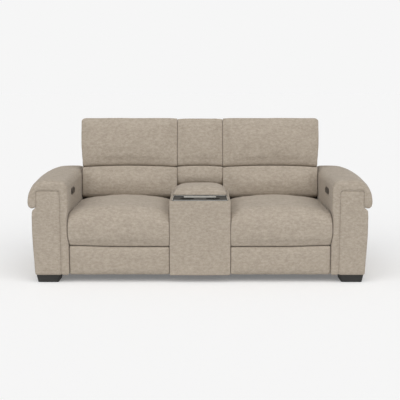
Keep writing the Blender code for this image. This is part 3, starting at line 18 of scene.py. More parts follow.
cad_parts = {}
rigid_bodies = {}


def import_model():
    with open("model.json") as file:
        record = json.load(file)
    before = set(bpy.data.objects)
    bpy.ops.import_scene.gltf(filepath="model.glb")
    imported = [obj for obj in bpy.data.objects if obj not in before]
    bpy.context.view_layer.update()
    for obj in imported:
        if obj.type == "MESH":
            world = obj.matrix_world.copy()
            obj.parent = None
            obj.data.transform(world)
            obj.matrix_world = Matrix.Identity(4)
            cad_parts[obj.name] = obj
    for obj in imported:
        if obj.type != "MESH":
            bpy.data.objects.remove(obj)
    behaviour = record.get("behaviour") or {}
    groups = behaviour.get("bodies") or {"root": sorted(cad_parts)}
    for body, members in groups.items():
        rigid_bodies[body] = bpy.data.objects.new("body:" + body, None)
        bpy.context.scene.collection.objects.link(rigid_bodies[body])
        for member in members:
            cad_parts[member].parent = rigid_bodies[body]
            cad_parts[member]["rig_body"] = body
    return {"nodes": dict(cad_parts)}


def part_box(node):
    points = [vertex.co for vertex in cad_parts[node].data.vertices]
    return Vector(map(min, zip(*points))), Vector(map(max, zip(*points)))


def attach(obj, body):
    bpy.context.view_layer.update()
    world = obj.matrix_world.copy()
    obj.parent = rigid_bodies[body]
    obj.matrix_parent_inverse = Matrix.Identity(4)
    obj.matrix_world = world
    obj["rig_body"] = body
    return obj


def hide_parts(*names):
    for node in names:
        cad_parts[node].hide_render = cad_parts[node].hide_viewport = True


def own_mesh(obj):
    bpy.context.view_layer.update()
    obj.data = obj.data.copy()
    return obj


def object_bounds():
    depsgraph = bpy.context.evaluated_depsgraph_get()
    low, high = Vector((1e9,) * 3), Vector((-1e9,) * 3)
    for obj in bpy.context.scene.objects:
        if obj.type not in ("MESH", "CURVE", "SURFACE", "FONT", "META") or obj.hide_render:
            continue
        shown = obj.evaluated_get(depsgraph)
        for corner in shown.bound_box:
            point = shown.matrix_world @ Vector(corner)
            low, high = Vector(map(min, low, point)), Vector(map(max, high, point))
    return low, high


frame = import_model()
nodes = frame["nodes"]
CAD_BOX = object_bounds()
FRONT = CAD_BOX[0].y
scene = bpy.context.scene
HANDS = (("right", 1), ("left", -1))


# %% [markdown]
# ## Camera
#
# The photograph is taken from straight in front, a little above the arms, with a long lens: the outer sides
# of the arms barely show. The distance and the tilt below were worked out from the widths of the front and
# of the headrests, which stand at two known depths.

# %% Camera
IMAGE_SIDE = 400
FOCAL_PIXELS = 820.0
CAMERA_DISTANCE = 4.767       # in front of the loveseat's front face
CAMERA_HEIGHT = 1.212
CAMERA_TILT = math.radians(8.47)

camera_data = bpy.data.cameras.new("portrait_camera")
camera_data.angle = 2 * math.atan(IMAGE_SIDE / 2 / FOCAL_PIXELS)
camera = bpy.data.objects.new("portrait_camera", camera_data)
camera.location = (0.0, FRONT - CAMERA_DISTANCE, CAMERA_HEIGHT)
camera.rotation_euler = (math.pi / 2 - CAMERA_TILT, 0.0, 0.0)
scene.collection.objects.link(camera)
scene.camera = camera
print("camera at", tuple(round(c, 3) for c in camera.location))


# %% [markdown]
# ## Floor and light
#
# A catalogue picture stands on a seamless pale sweep under very soft light. An even sky gives a part of the
# light here, and two wide suns the rest, one from either side of the camera and above it, as two large
# softboxes do: each reaches the inner side of the far arm and the creases that face it.
# Together they come to about 1 on a front face, so a colour renders about as it is written. The floor gets
# its last bit of brightness only where it is seen directly, so that it meets the background without a line,
# and it keeps the soft shadow under the body.

# %% Floor and light
SKY_STRENGTH = 0.42
SUN_STRENGTH = 1.13           # of each of the two
SUN_HEIGHT = math.radians(42.0)
SUN_SIZE = math.radians(60.0)
SUN_TURN = math.radians(40.0)
BACKGROUND = 0.922
FLOOR_SHADE = 0.84
FLOOR_REACH = 60.0
WHITE = (1.0, 1.0, 1.0, 1.0)


def new_material(name):
    """An empty node material, with its Principled shader."""
    material = bpy.data.materials.new(name)
    material.use_nodes = True
    return material, material.node_tree, material.node_tree.nodes["Principled BSDF"]


def set_inputs(node, **values):
    """Set a node's plain inputs by name, with _ for a space."""
    for key, value in values.items():
        node.inputs[key.replace("_", " ")].default_value = value


def add_shader_node(tree, kind, operation=None, **values):
    """A shader node with its operation and its plain inputs set."""
    made = tree.nodes.new(kind)
    if operation:
        made.operation = operation
    set_inputs(made, **values)
    return made


def mix_numbers(tree, operation, first, second):
    """A Math node on an output and a second output or a number."""
    made = add_shader_node(tree, "ShaderNodeMath", operation=operation)
    tree.links.new(first, made.inputs[0])
    if isinstance(second, float):
        made.inputs[1].default_value = second
    else:
        tree.links.new(second, made.inputs[1])
    return made.outputs[0]


def seen_directly(tree):
    """1 for what the camera, a reflection or a clear surface sees, 0 for light that only bounces."""
    rays = tree.nodes.new("ShaderNodeLightPath")
    seen = rays.outputs["Is Camera Ray"]
    for kind in ("Is Glossy Ray", "Is Transmission Ray"):
        seen = mix_numbers(tree, "MAXIMUM", seen, rays.outputs[kind])
    return seen


floor_light = SKY_STRENGTH + 2 * SUN_STRENGTH * math.sin(SUN_HEIGHT) / math.pi
floor_material, floor_tree, floor_shader = new_material("studio_floor")
set_inputs(floor_shader, Base_Color=(FLOOR_SHADE, FLOOR_SHADE, FLOOR_SHADE, 1.0), Roughness=1.0,
           Specular_IOR_Level=0.0, Emission_Color=WHITE)
last_bit = BACKGROUND - FLOOR_SHADE * floor_light
floor_glow = mix_numbers(floor_tree, "MULTIPLY", seen_directly(floor_tree), last_bit)
floor_tree.links.new(floor_glow, floor_shader.inputs["Emission Strength"])
floor_mesh = bpy.data.meshes.new("studio_floor")
corners = [(x, y, 0.0) for x, y in ((-1, -1), (1, -1), (1, 1), (-1, 1))]
floor_mesh.from_pydata([tuple(FLOOR_REACH * c for c in corner) for corner in corners], [], [(0, 1, 2, 3)])
floor_mesh.materials.append(floor_material)
floor = bpy.data.objects.new("studio_floor", floor_mesh)
scene.collection.objects.link(floor)

world = bpy.data.worlds.new("studio_sky")
world.use_nodes = True
scene.world = world
sky = world.node_tree
sky_light = sky.nodes["Background"]
set_inputs(sky_light, Color=WHITE, Strength=SKY_STRENGTH)
sky_seen = add_shader_node(sky, "ShaderNodeBackground", Color=WHITE, Strength=BACKGROUND)
sky_mix = sky.nodes.new("ShaderNodeMixShader")
for index, output in enumerate((seen_directly(sky), sky_light.outputs[0], sky_seen.outputs[0])):
    sky.links.new(output, sky_mix.inputs[index])
sky.links.new(sky_mix.outputs[0], sky.nodes["World Output"].inputs["Surface"])

for hand, side in HANDS:
    sun_data = bpy.data.lights.new(hand + "_sun", "SUN")
    sun_data.energy = SUN_STRENGTH
    sun_data.angle = SUN_SIZE
    sun = bpy.data.objects.new(hand + "_sun", sun_data)
    sun.rotation_euler = (math.pi / 2 - SUN_HEIGHT, 0.0, side * SUN_TURN)
    scene.collection.objects.link(sun)
scene.view_settings.view_transform = "Standard"
print("light on the floor", round(floor_light, 3))


# %% [markdown]
# ## Fabric
#
# The cover is a soft chenille in pale taupe: short fuzzy yarns run across the cloth, some lighter and some
# darker, and the whole has a slow mottling where the pile lies one way or the other. Noise stretched along
# X gives the yarns, fine noise the pile, and large noise the mottling. The pattern reads object coordinates,
# because every piece keeps its place in its mesh, so the yarns have one size all over the loveseat.

# %% Fabric
TAUPE = (0.415, 0.357, 0.291)
TAUPE_DARK = (0.315, 0.266, 0.211)
TAUPE_LIGHT = (0.520, 0.455, 0.380)
EVERY_WAY = (1.0, 1.0, 1.0)


def object_coordinates(tree, scale):
    """Object coordinates, stretched by a Mapping node."""
    place = tree.nodes.new("ShaderNodeTexCoord")
    mapping = add_shader_node(tree, "ShaderNodeMapping", Scale=scale)
    tree.links.new(place.outputs["Object"], mapping.inputs["Vector"])
    return mapping.outputs["Vector"]


def noise_on(tree, coordinates, scale, detail=2.0, roughness=0.5):
    """A noise texture on given coordinates."""
    made = add_shader_node(tree, "ShaderNodeTexNoise", Scale=scale, Detail=detail, Roughness=roughness)
    tree.links.new(coordinates, made.inputs["Vector"])
    return made.outputs["Fac"]


def ramp_between(tree, factor, stops):
    """A colour ramp over (position, colour) stops."""
    made = tree.nodes.new("ShaderNodeValToRGB")
    elements = made.color_ramp.elements
    while len(elements) < len(stops):
        elements.new(0.5)
    for element, (position, colour) in zip(elements, stops):
        element.position = position
        element.color = (*colour, 1.0)
    tree.links.new(factor, made.inputs["Fac"])
    return made.outputs["Color"]


def bump_from(tree, shader, height, strength, distance):
    """Bump the shader's normal with a height."""
    made = add_shader_node(tree, "ShaderNodeBump", Strength=strength, Distance=distance)
    tree.links.new(height, made.inputs["Height"])
    tree.links.new(made.outputs["Normal"], shader.inputs["Normal"])


def chenille(name):
    """The loveseat's cover fabric."""
    material, tree, shader = new_material(name)
    plain = object_coordinates(tree, EVERY_WAY)
    along = object_coordinates(tree, (0.55, 1.0, 1.0))
    yarn = noise_on(tree, along, 190.0, 3.0, 0.62)
    pile = noise_on(tree, plain, 520.0, 2.0, 0.7)
    slub = noise_on(tree, along, 84.0, 2.0, 0.6)
    mottle = noise_on(tree, plain, 17.0, 4.0, 0.6)
    fine = mix_numbers(tree, "ADD", yarn, pile)
    tone = mix_numbers(tree, "MULTIPLY", fine, 0.24)
    for layer, share in ((slub, 0.38), (mottle, 0.14)):
        tone = mix_numbers(tree, "ADD", tone, mix_numbers(tree, "MULTIPLY", layer, share))
    stops = [(0.33, TAUPE_DARK), (0.50, TAUPE), (0.67, TAUPE_LIGHT)]
    tree.links.new(ramp_between(tree, tone, stops), shader.inputs["Base Color"])
    bump_from(tree, shader, fine, 0.55, 0.0012)
    set_inputs(shader, Roughness=0.95, Specular_IOR_Level=0.15, Sheen_Weight=0.12, Sheen_Roughness=0.45)
    return material


FABRIC = chenille("taupe_chenille")
print("fabric ready")


# %% [markdown]
# ## Hard finishes
#
# The frame's own nodes keep their shapes and get finishes: powder coat on the steel, zinc on the links,
# plywood on the boards, moulded plastic on bin, drive and switches, stained wood on the feet, brushed metal
# on the tray's trim. The lid's board gets the black moulding too, as painted shade: its edge under the lid
# reads as the thin dark line where lid and tray meet. The boards of the backs and headrests show when a
# headrest tilts, so they are wrapped in the cover's cloth. Each finish gets its own grain and bump from
# noise, at the size that the real one has.

# %% Hard finishes
def grained(name, tone, stops, grain, bump, roughness, metallic=0.0):
    """A finish whose colour follows one noise and whose bump follows another, as the roughness can too."""
    material, tree, shader = new_material(name)
    cloud, lines = [noise_on(tree, object_coordinates(tree, way), *rest) for way, *rest in (tone, grain)]
    tree.links.new(ramp_between(tree, cloud, stops), shader.inputs["Base Color"])
    bump_from(tree, shader, lines, *bump)
    if isinstance(roughness, tuple):
        least, more = roughness
        rough = mix_numbers(tree, "ADD", mix_numbers(tree, "MULTIPLY", lines, more), least)
        tree.links.new(rough, shader.inputs["Roughness"])
    else:
        set_inputs(shader, Roughness=roughness)
    set_inputs(shader, Metallic=metallic)
    return material


def moulded_plastic(name, dark, light, roughness):
    """Injection-moulded plastic with a spark-eroded grain."""
    return grained(name, (EVERY_WAY, 22.0, 3.0), [(0.3, dark), (0.7, light)],
                   (EVERY_WAY, 1500.0, 1.0), (0.3, 0.0003), roughness)


def plywood_sheet():
    """Birch plywood: a pale face with long grain."""
    material, tree, shader = new_material("birch_plywood")
    grain = noise_on(tree, object_coordinates(tree, (3.0, 26.0, 26.0)), 3.2, 5.0, 0.6)
    pores = noise_on(tree, object_coordinates(tree, (20.0, 300.0, 300.0)), 2.0, 2.0)
    both = mix_numbers(tree, "ADD", mix_numbers(tree, "MULTIPLY", grain, 0.8),
                       mix_numbers(tree, "MULTIPLY", pores, 0.2))
    stops = [(0.32, (0.36, 0.23, 0.12)), (0.52, (0.55, 0.40, 0.24)), (0.72, (0.66, 0.51, 0.33))]
    tree.links.new(ramp_between(tree, both, stops), shader.inputs["Base Color"])
    bump_from(tree, shader, pores, 0.2, 0.0005)
    set_inputs(shader, Roughness=0.68)
    return material


ORANGE_PEEL = (EVERY_WAY, 900.0, 2.0)
ROLLED = ((1.0, 0.05, 1.0), 700.0, 3.0, 0.6)
WOOD_GRAIN = ((8.0, 60.0, 60.0), 2.4, 4.0, 0.6)
BRUSHED = ((0.04, 1.0, 1.0), 900.0, 2.0, 0.6)
STEEL = grained("powder_coat", (EVERY_WAY, 16.0, 5.0, 0.65),
                [(0.35, (0.022, 0.022, 0.024)), (0.75, (0.045, 0.045, 0.047))],
                ORANGE_PEEL, (0.25, 0.0004), 0.48)
ZINC = grained("zinc_plate", (EVERY_WAY, 30.0, 4.0, 0.6),
               [(0.30, (0.40, 0.41, 0.42)), (0.70, (0.56, 0.55, 0.52))],
               ROLLED, (0.12, 0.0003), (0.22, 0.25), 1.0)
PLYWOOD = plywood_sheet()
BLACK_PLASTIC = moulded_plastic("black_moulding", (0.016, 0.015, 0.014), (0.028, 0.026, 0.024), 0.45)
SWITCH_PLASTIC = moulded_plastic("switch_moulding", (0.050, 0.041, 0.033), (0.075, 0.062, 0.050), 0.40)
TRAY_PLASTIC = moulded_plastic("tray_moulding", (0.024, 0.022, 0.018), (0.038, 0.035, 0.029), 0.70)
FOOT_WOOD = grained("stained_foot", WOOD_GRAIN,
                    [(0.3, (0.013, 0.0125, 0.011)), (0.7, (0.027, 0.026, 0.0235))],
                    WOOD_GRAIN, (0.15, 0.0006), 0.55)
TRIM = grained("satin_trim", BRUSHED, [(0.3, (0.66, 0.66, 0.63)), (0.7, (0.78, 0.78, 0.75))],
               BRUSHED, (0.08, 0.0002), (0.30, 0.2), 0.9)

PLAIN_FINISHES = {
    "base_frame": STEEL, "console_frame": PLYWOOD, "storage_bin": BLACK_PLASTIC, "cup_tray": TRAY_PLASTIC,
    # the lid's board takes the black moulding as painted shade: its edge under the lid reads as the thin dark
    # line where lid and tray meet
    "lid_board": BLACK_PLASTIC, "lid_hinge": ZINC}
HAND_FINISHES = {
    "arm_frame": PLYWOOD, "front_foot": FOOT_WOOD, "rear_foot": FOOT_WOOD, "recline_rocker": SWITCH_PLASTIC,
    "headrest_rocker": SWITCH_PLASTIC, "switch_panel": SWITCH_PLASTIC, "seat_frame": STEEL,
    "seat_springs": ZINC, "rear_lift_link": ZINC, "front_lift_link": ZINC, "long_footrest_link": ZINC,
    "short_footrest_link": ZINC, "footrest_board": STEEL, "recline_drive": BLACK_PLASTIC,
    "drive_carriage": ZINC, "back_frame": FABRIC, "headrest_frame": FABRIC}
for hand, side in HANDS:
    for part, material in HAND_FINISHES.items():
        PLAIN_FINISHES[hand + "_" + part] = material
for node, material in PLAIN_FINISHES.items():
    nodes[node].data.materials.clear()
    nodes[node].data.materials.append(material)
print("finishes on", len(PLAIN_FINISHES), "nodes")


# %% [markdown]
# ## Upholstery tools
#
# A cushion is a cover filled with foam and fibre: it crowns between its seams and pulls in between its
# corners. The recipe here starts from the CAD solid, whose loose triangles are joined and then given an
# even skin of small squares with a voxel remesh. Cloth needs such a skin: the solid's own long thin
# triangles would give it nothing to bend.

# %% An even skin
def points_of(mesh):
    """A mesh's points as an array."""
    flat = np.zeros(len(mesh.vertices) * 3)
    mesh.vertices.foreach_get("co", flat)
    return flat.reshape(-1, 3)


def normals_of(mesh):
    """A mesh's point normals as an array."""
    flat = np.zeros(len(mesh.vertices) * 3)
    mesh.vertices.foreach_get("normal", flat)
    return flat.reshape(-1, 3)


def set_points(mesh, points):
    """Put an array of points back into a mesh."""
    mesh.vertices.foreach_set("co", points.astype(np.float32).ravel())
    mesh.update()


def evaluated_mesh(piece):
    """The mesh that a piece's modifiers make."""
    graph = bpy.context.evaluated_depsgraph_get()
    return bpy.data.meshes.new_from_object(piece.evaluated_get(graph), depsgraph=graph)


def settle_modifiers(piece):
    """Swap a piece's mesh for what its modifiers make of it."""
    mesh = evaluated_mesh(piece)
    piece.modifiers.clear()
    piece.data = mesh
    return piece


def new_piece(name, mesh, material):
    """A linked object with one material, at the origin."""
    piece = bpy.data.objects.new(name, mesh)
    mesh.materials.clear()
    mesh.materials.append(material)
    scene.collection.objects.link(piece)
    return piece


def merged_copy(node):
    """A CAD node's mesh with its loose triangles joined."""
    bm = bmesh.new()
    bm.from_mesh(nodes[node].data)
    bmesh.ops.remove_doubles(bm, verts=bm.verts[:], dist=1e-5)
    mesh = bpy.data.meshes.new(node + "_skin")
    bm.to_mesh(mesh)
    bm.free()
    return mesh


def even_skin(node, voxel):
    """A CAD solid as an even skin of squares."""
    piece = new_piece(node + "_skin", merged_copy(node), FABRIC)
    remesh = piece.modifiers.new("even_skin", "REMESH")
    remesh.mode = "VOXEL"
    remesh.voxel_size = voxel
    return settle_modifiers(piece)


print("the seat's solid has", len(nodes["right_seat_cushion"].data.vertices), "points before its skin")


# %% [markdown]
# ## Filling a cover
#
# The skin is drawn in a little, and Blender's cloth blows it up with pressure, as the fill does. A point may
# go only so far, and never into a neighbour, so the cushion ends in the room that its solid holds. Slow
# noise adds the unevenness of a cushion that is filled by hand.

# %% Filling a cover
PRESSURE = 4.0
SIM_FRAMES = 20
CLEARANCE = 0.0012
INSIDE = 0.006                # a ray to the neighbours starts this far inside the skin
SLACK = 0.001                 # how far a point may stay behind its solid
UNEVEN, WAVE = 0.0012, 0.11
FINER_SHARE, FINER_WAVE = 0.5, 2.3
CALM, ROOM = 0.002, 0.025     # smooth this near to a neighbour, and fully uneven so much further away


def neighbours_of(own):
    """A search tree over every CAD node except one."""
    points, faces = [], []
    for name, node in nodes.items():
        if name != own:
            start = len(points)
            points += [tuple(vert.co) for vert in node.data.vertices]
            faces += [tuple(start + index for index in face.vertices) for face in node.data.polygons]
    return BVHTree.FromPolygons(points, faces)


def blow_up(piece, pressure):
    """Fill a skin with pressure and return where its points end."""
    cloth = piece.modifiers.new("fill", "CLOTH")
    cloth.settings.use_pressure = True
    cloth.settings.uniform_pressure_force = pressure
    cloth.settings.effector_weights.gravity = 0.0
    cloth.settings.quality = 4
    cloth.point_cache.frame_start = 1
    cloth.point_cache.frame_end = SIM_FRAMES
    for number in range(1, SIM_FRAMES + 1):
        scene.frame_set(number)
    mesh = evaluated_mesh(piece)
    ends = points_of(mesh)
    piece.modifiers.clear()
    bpy.data.meshes.remove(mesh)
    scene.frame_set(1)
    return ends


def evened(mesh, values, rounds):
    """Average a number per point over the mesh's edges, a few times."""
    edges = np.zeros(len(mesh.edges) * 2, dtype=np.int64)
    mesh.edges.foreach_get("vertices", edges)
    first, second = edges.reshape(-1, 2).T
    count = np.bincount(first, minlength=len(values)) + np.bincount(second, minlength=len(values))
    for _ in range(rounds):
        total = np.bincount(first, values[second], len(values))
        total += np.bincount(second, values[first], len(values))
        values = 0.5 * values + 0.5 * total / count
    return values


def kept_clear(points, normals, crown, tree):
    """Stop each point's crown short of a neighbour."""
    allowed = crown.copy()
    for index in range(len(points)):
        way = Vector(normals[index])
        inside = Vector(points[index]) - way * INSIDE
        hit = tree.ray_cast(inside, way, INSIDE + max(0.0, float(crown[index])) + CLEARANCE)
        if hit[0] is not None:
            allowed[index] = min(crown[index], max(hit[3] - INSIDE - CLEARANCE, -INSIDE / 2))
    return allowed


def uneven(points, normals, tree):
    """Slow unevenness of a hand-filled cushion, fading out near neighbours."""
    moved = points.copy()
    for index, point in enumerate(points):
        place = Vector(point)
        near = tree.find_nearest(place, CALM + ROOM)
        room = 1.0 if near[0] is None else max(0.0, min(1.0, (near[3] - CALM) / ROOM))
        swell = noise.noise(place / WAVE) + FINER_SHARE * noise.noise(place * FINER_WAVE / WAVE)
        moved[index] += normals[index] * UNEVEN * room * swell
    return moved


def crown_of(piece, draw_in, cap):
    """How far each point of a skin stands out of its solid when the cover is filled."""
    mesh = piece.data
    points, normals = points_of(mesh), normals_of(mesh)
    if cap == 0:
        return np.zeros(len(points))
    set_points(mesh, points - draw_in * normals)
    ends = blow_up(piece, PRESSURE)
    set_points(mesh, points)
    out = np.einsum("ij,ij->i", ends - points, normals)
    limit = np.where(out > 0, cap, SLACK)
    return evened(mesh, np.sign(out) * limit * (1 - np.exp(-np.abs(out) / limit)), rounds=6)


print("covers are filled at pressure", PRESSURE, "over", SIM_FRAMES, "frames")


# %% [markdown]
# ## A padded piece
#
# The filled skin becomes a piece of the loveseat: it is smoothed, bent to its finer form and subdivided,
# except for the flat covers behind. Then it rides on its solid's body, and the solid is hidden.

# %% A padded piece
FLAT_REAR = ("back_panel", "rear_rail")


def smoothed(piece, steps, factor):
    """Even out a mesh."""
    even = piece.modifiers.new("even", "SMOOTH")
    even.iterations = steps
    even.factor = factor
    return settle_modifiers(piece)


def finer(piece):
    """One level of subdivision, and smooth shading."""
    fine = piece.modifiers.new("fine", "SUBSURF")
    fine.levels = 1
    fine.render_levels = 1
    settle_modifiers(piece)
    piece.data.shade_smooth()
    return piece


def finish_padded(piece, node):
    """Give a padded piece its cloth, let it ride on its solid's body and hide that solid."""
    piece.data.materials.clear()
    piece.data.materials.append(FABRIC)
    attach(piece, nodes[node]["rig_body"])
    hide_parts(node)


def upholstered(node, voxel, draw_in, cap, bends):
    """A padded piece in the room of one CAD solid, riding on that solid's body.

    A bend moves an array of points, or is a tuple of a function that makes one for a node and what it needs.
    """
    piece = even_skin(node, voxel)
    tree = neighbours_of(node)
    points, normals = points_of(piece.data), normals_of(piece.data)
    crown = kept_clear(points, normals, crown_of(piece, draw_in, cap), tree)
    set_points(piece.data, points + normals * evened(piece.data, crown, rounds=2)[:, None])
    smoothed(piece, steps=2, factor=0.4)
    set_points(piece.data, uneven(points_of(piece.data), normals_of(piece.data), tree))
    points = points_of(piece.data)
    for bend in bends:
        if isinstance(bend, tuple):
            bend = bend[0](node, *bend[1:])
        points = bend(points)
    set_points(piece.data, points)
    if node.endswith(FLAT_REAR):
        piece.data.shade_smooth()
    else:
        finer(piece)
    piece.name = node + "_cover"
    finish_padded(piece, node)
    return piece


def other_hand(piece, node):
    """The same padded piece on the left, mirrored."""
    mesh = piece.data.copy()
    points = points_of(mesh)
    points[:, 0] *= -1
    set_points(mesh, points)
    mesh.flip_normals()
    copy = bpy.data.objects.new(node + "_cover", mesh)
    scene.collection.objects.link(copy)
    finish_padded(copy, node)
    return copy


def triangles(piece):
    """How many triangles a piece has."""
    return sum(len(face.vertices) - 2 for face in piece.data.polygons)


print("covers that get no extra subdivision:", FLAT_REAR)


# %% [markdown]
# ## Creases and seams
#
# Where two cushions meet, each is pressed square against the other, so the seam is a thin line: the rounding
# there is squeezed towards the edge. Lumbar and headrest are two separate cushions, and the dark crease
# between them is the gap where the headrest tilts. It sinks towards its ends, as it does where a filled
# cover is sewn at its corners. Each bend is a function on an array of points, so several can follow one
# another on a skin, before it is subdivided.

# %% Creases and seams
BACK_PIVOT = np.array((0.0, FRONT + 0.625, 0.290))
BACK_RAKE = math.radians(15.0)
RISE = np.array((0.0, math.sin(BACK_RAKE), math.cos(BACK_RAKE)))
CREASE_REACH = 0.110
CREASE_DROP = 0.010
SEAM = (0.0004, 3.0, 0.022)   # half the gap that stays open, how square the edges are pressed, how far in
CREASE = (0.0012, 1.9, 0.022)
FULL_CREASE = (0.0012, 2.1, 0.040)
SIDE, UP = np.array((1.0, 0.0, 0.0)), np.array((0.0, 0.0, 1.0))


def soft_step(values):
    """Ease from 0 to 1."""
    held = np.clip(values, 0.0, 1.0)
    return held * held * (3 - 2 * held)


def eased(values, start, width):
    """Ease from 0 at a start to 1 a width further on; a width below 0 looks the other way."""
    return soft_step((values - start) / width)


def reach_along(node, way):
    """How far a CAD node reaches along a direction, low and high."""
    along = (points_of(nodes[node].data) - BACK_PIVOT) @ way
    return along.min(), along.max()


def squeezed(inward, reach, grow, power):
    """Squeeze a rounding towards its edge: how far inside the edge each point ends."""
    near = np.clip(inward / reach, 0.0, 1.0)
    return np.where(inward < reach, (reach + grow) * near ** power - grow, inward)


def pressed(node, other, way, kind):
    """Press a cushion square against its neighbour along a direction; the seam between them stays thin."""
    half, power, reach = kind
    own, next_to = reach_along(node, way), reach_along(other, way)
    above = own[0] + own[1] > next_to[0] + next_to[1]
    edge, facing = (own[0], next_to[1]) if above else (own[1], next_to[0])
    turn = 1.0 if above else -1.0
    grow = abs(edge - facing) / 2 - half

    def bend(points):
        inward = ((points - BACK_PIVOT) @ way - edge) * turn
        shift = squeezed(inward, reach, grow, power) - inward
        return points + (turn * shift)[:, None] * way

    return bend


def beside(node, *others):
    """Press a cushion square against its neighbours at the sides."""
    presses = [pressed(node, other, SIDE, SEAM) for other in others]

    def bend(points):
        for press in presses:
            points = press(points)
        return points

    return bend


def crease_arch(node, upper, drop):
    """Sink the ends of a cushion's crease; it is its upper or its lower edge."""
    low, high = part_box(node)
    centre, half = (low.x + high.x) / 2, (high.x - low.x) / 2
    line = reach_along(node, RISE)[1 if upper else 0]

    def bend(points):
        near = soft_step(1 - np.abs((points - BACK_PIVOT) @ RISE - line) / CREASE_REACH)
        ends = np.clip(np.abs(points[:, 0] - centre) / half, 0.0, 1.0) ** 2
        return points - (drop * near * ends)[:, None] * RISE

    return bend


crease = reach_along("right_headrest_cushion", RISE)[0] - reach_along("right_lumbar_cushion", RISE)[1]
print("headrest and lumbar solids stand", round(1000 * crease, 1), "mm apart")


# %% [markdown]
# ## Arms
#
# The arm's padding rolls over softly at the front, swells along its length and laps over the outer side as
# a lip. A flat panel closes the arm at either end, and the seam round it is pressed shut. The seat swells a
# little into the padding, which gives way: one function says how much, so the two stay together.

# %% Arms
SWELL = 0.008
SWELL_DEPTH, SWELL_WIDTH = 0.330, 0.100
SWELL_FROM, SWELL_TO, SWELL_EASE = 0.225, 0.455, 0.075      # heights, and how softly it sets in


def swelling(points):
    """How much of the seat's swell into the arm a point takes."""
    heights = eased(points[:, 2], SWELL_FROM, SWELL_EASE) * eased(points[:, 2], SWELL_TO, -SWELL_EASE)
    return SWELL * heights * soft_step(1 - (points[:, 1] - FRONT) / SWELL_DEPTH)


def seat_swell(points):
    """Swell the seat's outer side towards the arm."""
    share = eased(points[:, 0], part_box("right_seat_cushion")[1].x - SWELL_WIDTH, SWELL_WIDTH)
    return points + (swelling(points) * share)[:, None] * SIDE


PANEL_INNER, PANEL_OUTER, PANEL_TOP, PANEL_RADIUS = 0.826, 0.968, 0.5565, 0.014
PANEL_REACH, PANEL_POWER, PANEL_FORWARD = 0.013, 3.0, 0.0025
PANEL_PAST, PANEL_GAP = 0.004, 0.0004
END_DEPTH, END_EASE = 0.030, 0.015
ARM_LIP_BOTTOM = 0.446


def near_end(points, way):
    """1 at the arm's front (way 1) or its rear (way -1), 0 a little way in."""
    low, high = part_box("right_arm_body")
    depth = points[:, 1] - low.y if way > 0 else high.y - points[:, 1]
    return eased(depth, END_DEPTH, -END_EASE)


def met_at_panel(points, turn):
    """Close the seam round the arm's end panels; turn is 1 for the padding round them, -1 for the panels."""
    flat = points[:, [0, 2]]
    core = np.column_stack((np.clip(flat[:, 0], PANEL_INNER + PANEL_RADIUS, PANEL_OUTER - PANEL_RADIUS),
                            np.minimum(flat[:, 1], PANEL_TOP - PANEL_RADIUS)))
    out = flat - core
    reach = np.maximum(np.linalg.norm(out, axis=1), 1e-9)
    inward = (reach - PANEL_RADIUS) * turn
    moving = (inward > -PANEL_PAST) & (inward < PANEL_REACH)
    moving &= (flat[:, 0] < PANEL_OUTER - PANEL_RADIUS) | (flat[:, 1] > ARM_LIP_BOTTOM)
    target = squeezed(inward, PANEL_REACH, -PANEL_GAP, PANEL_POWER)
    share = np.maximum(near_end(points, 1), near_end(points, -1))
    ends = PANEL_RADIUS + turn * (inward + (target - inward) * share)
    moved = points.copy()
    moved[:, [0, 2]] = np.where(moving[:, None], core + out / reach[:, None] * ends[:, None], flat)
    return moved


ARM_ROLL_DEPTH, ARM_ROLL_DROP = 0.070, 0.50
ARM_ROLL_FROM = (0.568, 0.500)          # above the front panel, and on the lip outside it
ARM_LIP = (0.955, 0.040)                # where the padding passes over to the lip, and how softly
ARM_PILLOW, PILLOW_INNER, PILLOW_OUTER, PILLOW_FOOT = 0.013, (0.02, 0.10), 0.045, (0.480, 0.060)
ARM_GIVES = 0.040                       # how far into the padding it gives way to the seat
ARM_REAR_ROUND, ARM_REAR_SHARE, ARM_REAR_FOOT = 0.035, 0.3, (0.500, 0.080)


def arm_softness(points):
    """Roll the arm's padding over at the front, swell it along its length, let it give way to the seat."""
    low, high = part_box("right_arm_pad")
    points = met_at_panel(points, 1)
    points[:, 0] = np.maximum(points[:, 0], low.x)
    depth = points[:, 1] - low.y
    outside = eased(points[:, 0], *ARM_LIP)
    foot = ARM_ROLL_FROM[0] + (ARM_ROLL_FROM[1] - ARM_ROLL_FROM[0]) * outside
    back = np.clip(1 - depth / ARM_ROLL_DEPTH, 0.0, 1.0)
    share = 1 - ARM_ROLL_DROP * (1 - np.sqrt(1 - back * back))
    moved = points.copy()
    moved[:, 2] = np.where(points[:, 2] > foot, foot + (points[:, 2] - foot) * share, points[:, 2])
    along = np.sin(math.pi * np.clip(depth / (high.y - low.y), 0.0, 1.0))
    across = eased(points[:, 0] - low.x, *PILLOW_INNER) * eased(points[:, 0], high.x, -PILLOW_OUTER)
    moved[:, 2] += ARM_PILLOW * along * across * eased(points[:, 2], *PILLOW_FOOT)
    inner = np.clip(1 - (points[:, 0] - low.x) / ARM_GIVES, 0.0, 1.0)
    rear = soft_step(1 - (high.y - points[:, 1]) / ARM_REAR_ROUND) * eased(points[:, 2], *ARM_REAR_FOOT)
    moved[:, 1] -= ARM_REAR_SHARE * ARM_REAR_ROUND * rear * inner
    return moved + (swelling(points) * inner)[:, None] * SIDE


ARM_SHOULDER = (0.426, 0.4445)          # where the outer side turns in under the lip
SHOULDER_IN, SHOULDER_ROUND, SHOULDER_ABOVE = 0.006, 0.012, 0.012
SHOULDER_FROM = (0.960, 0.395)


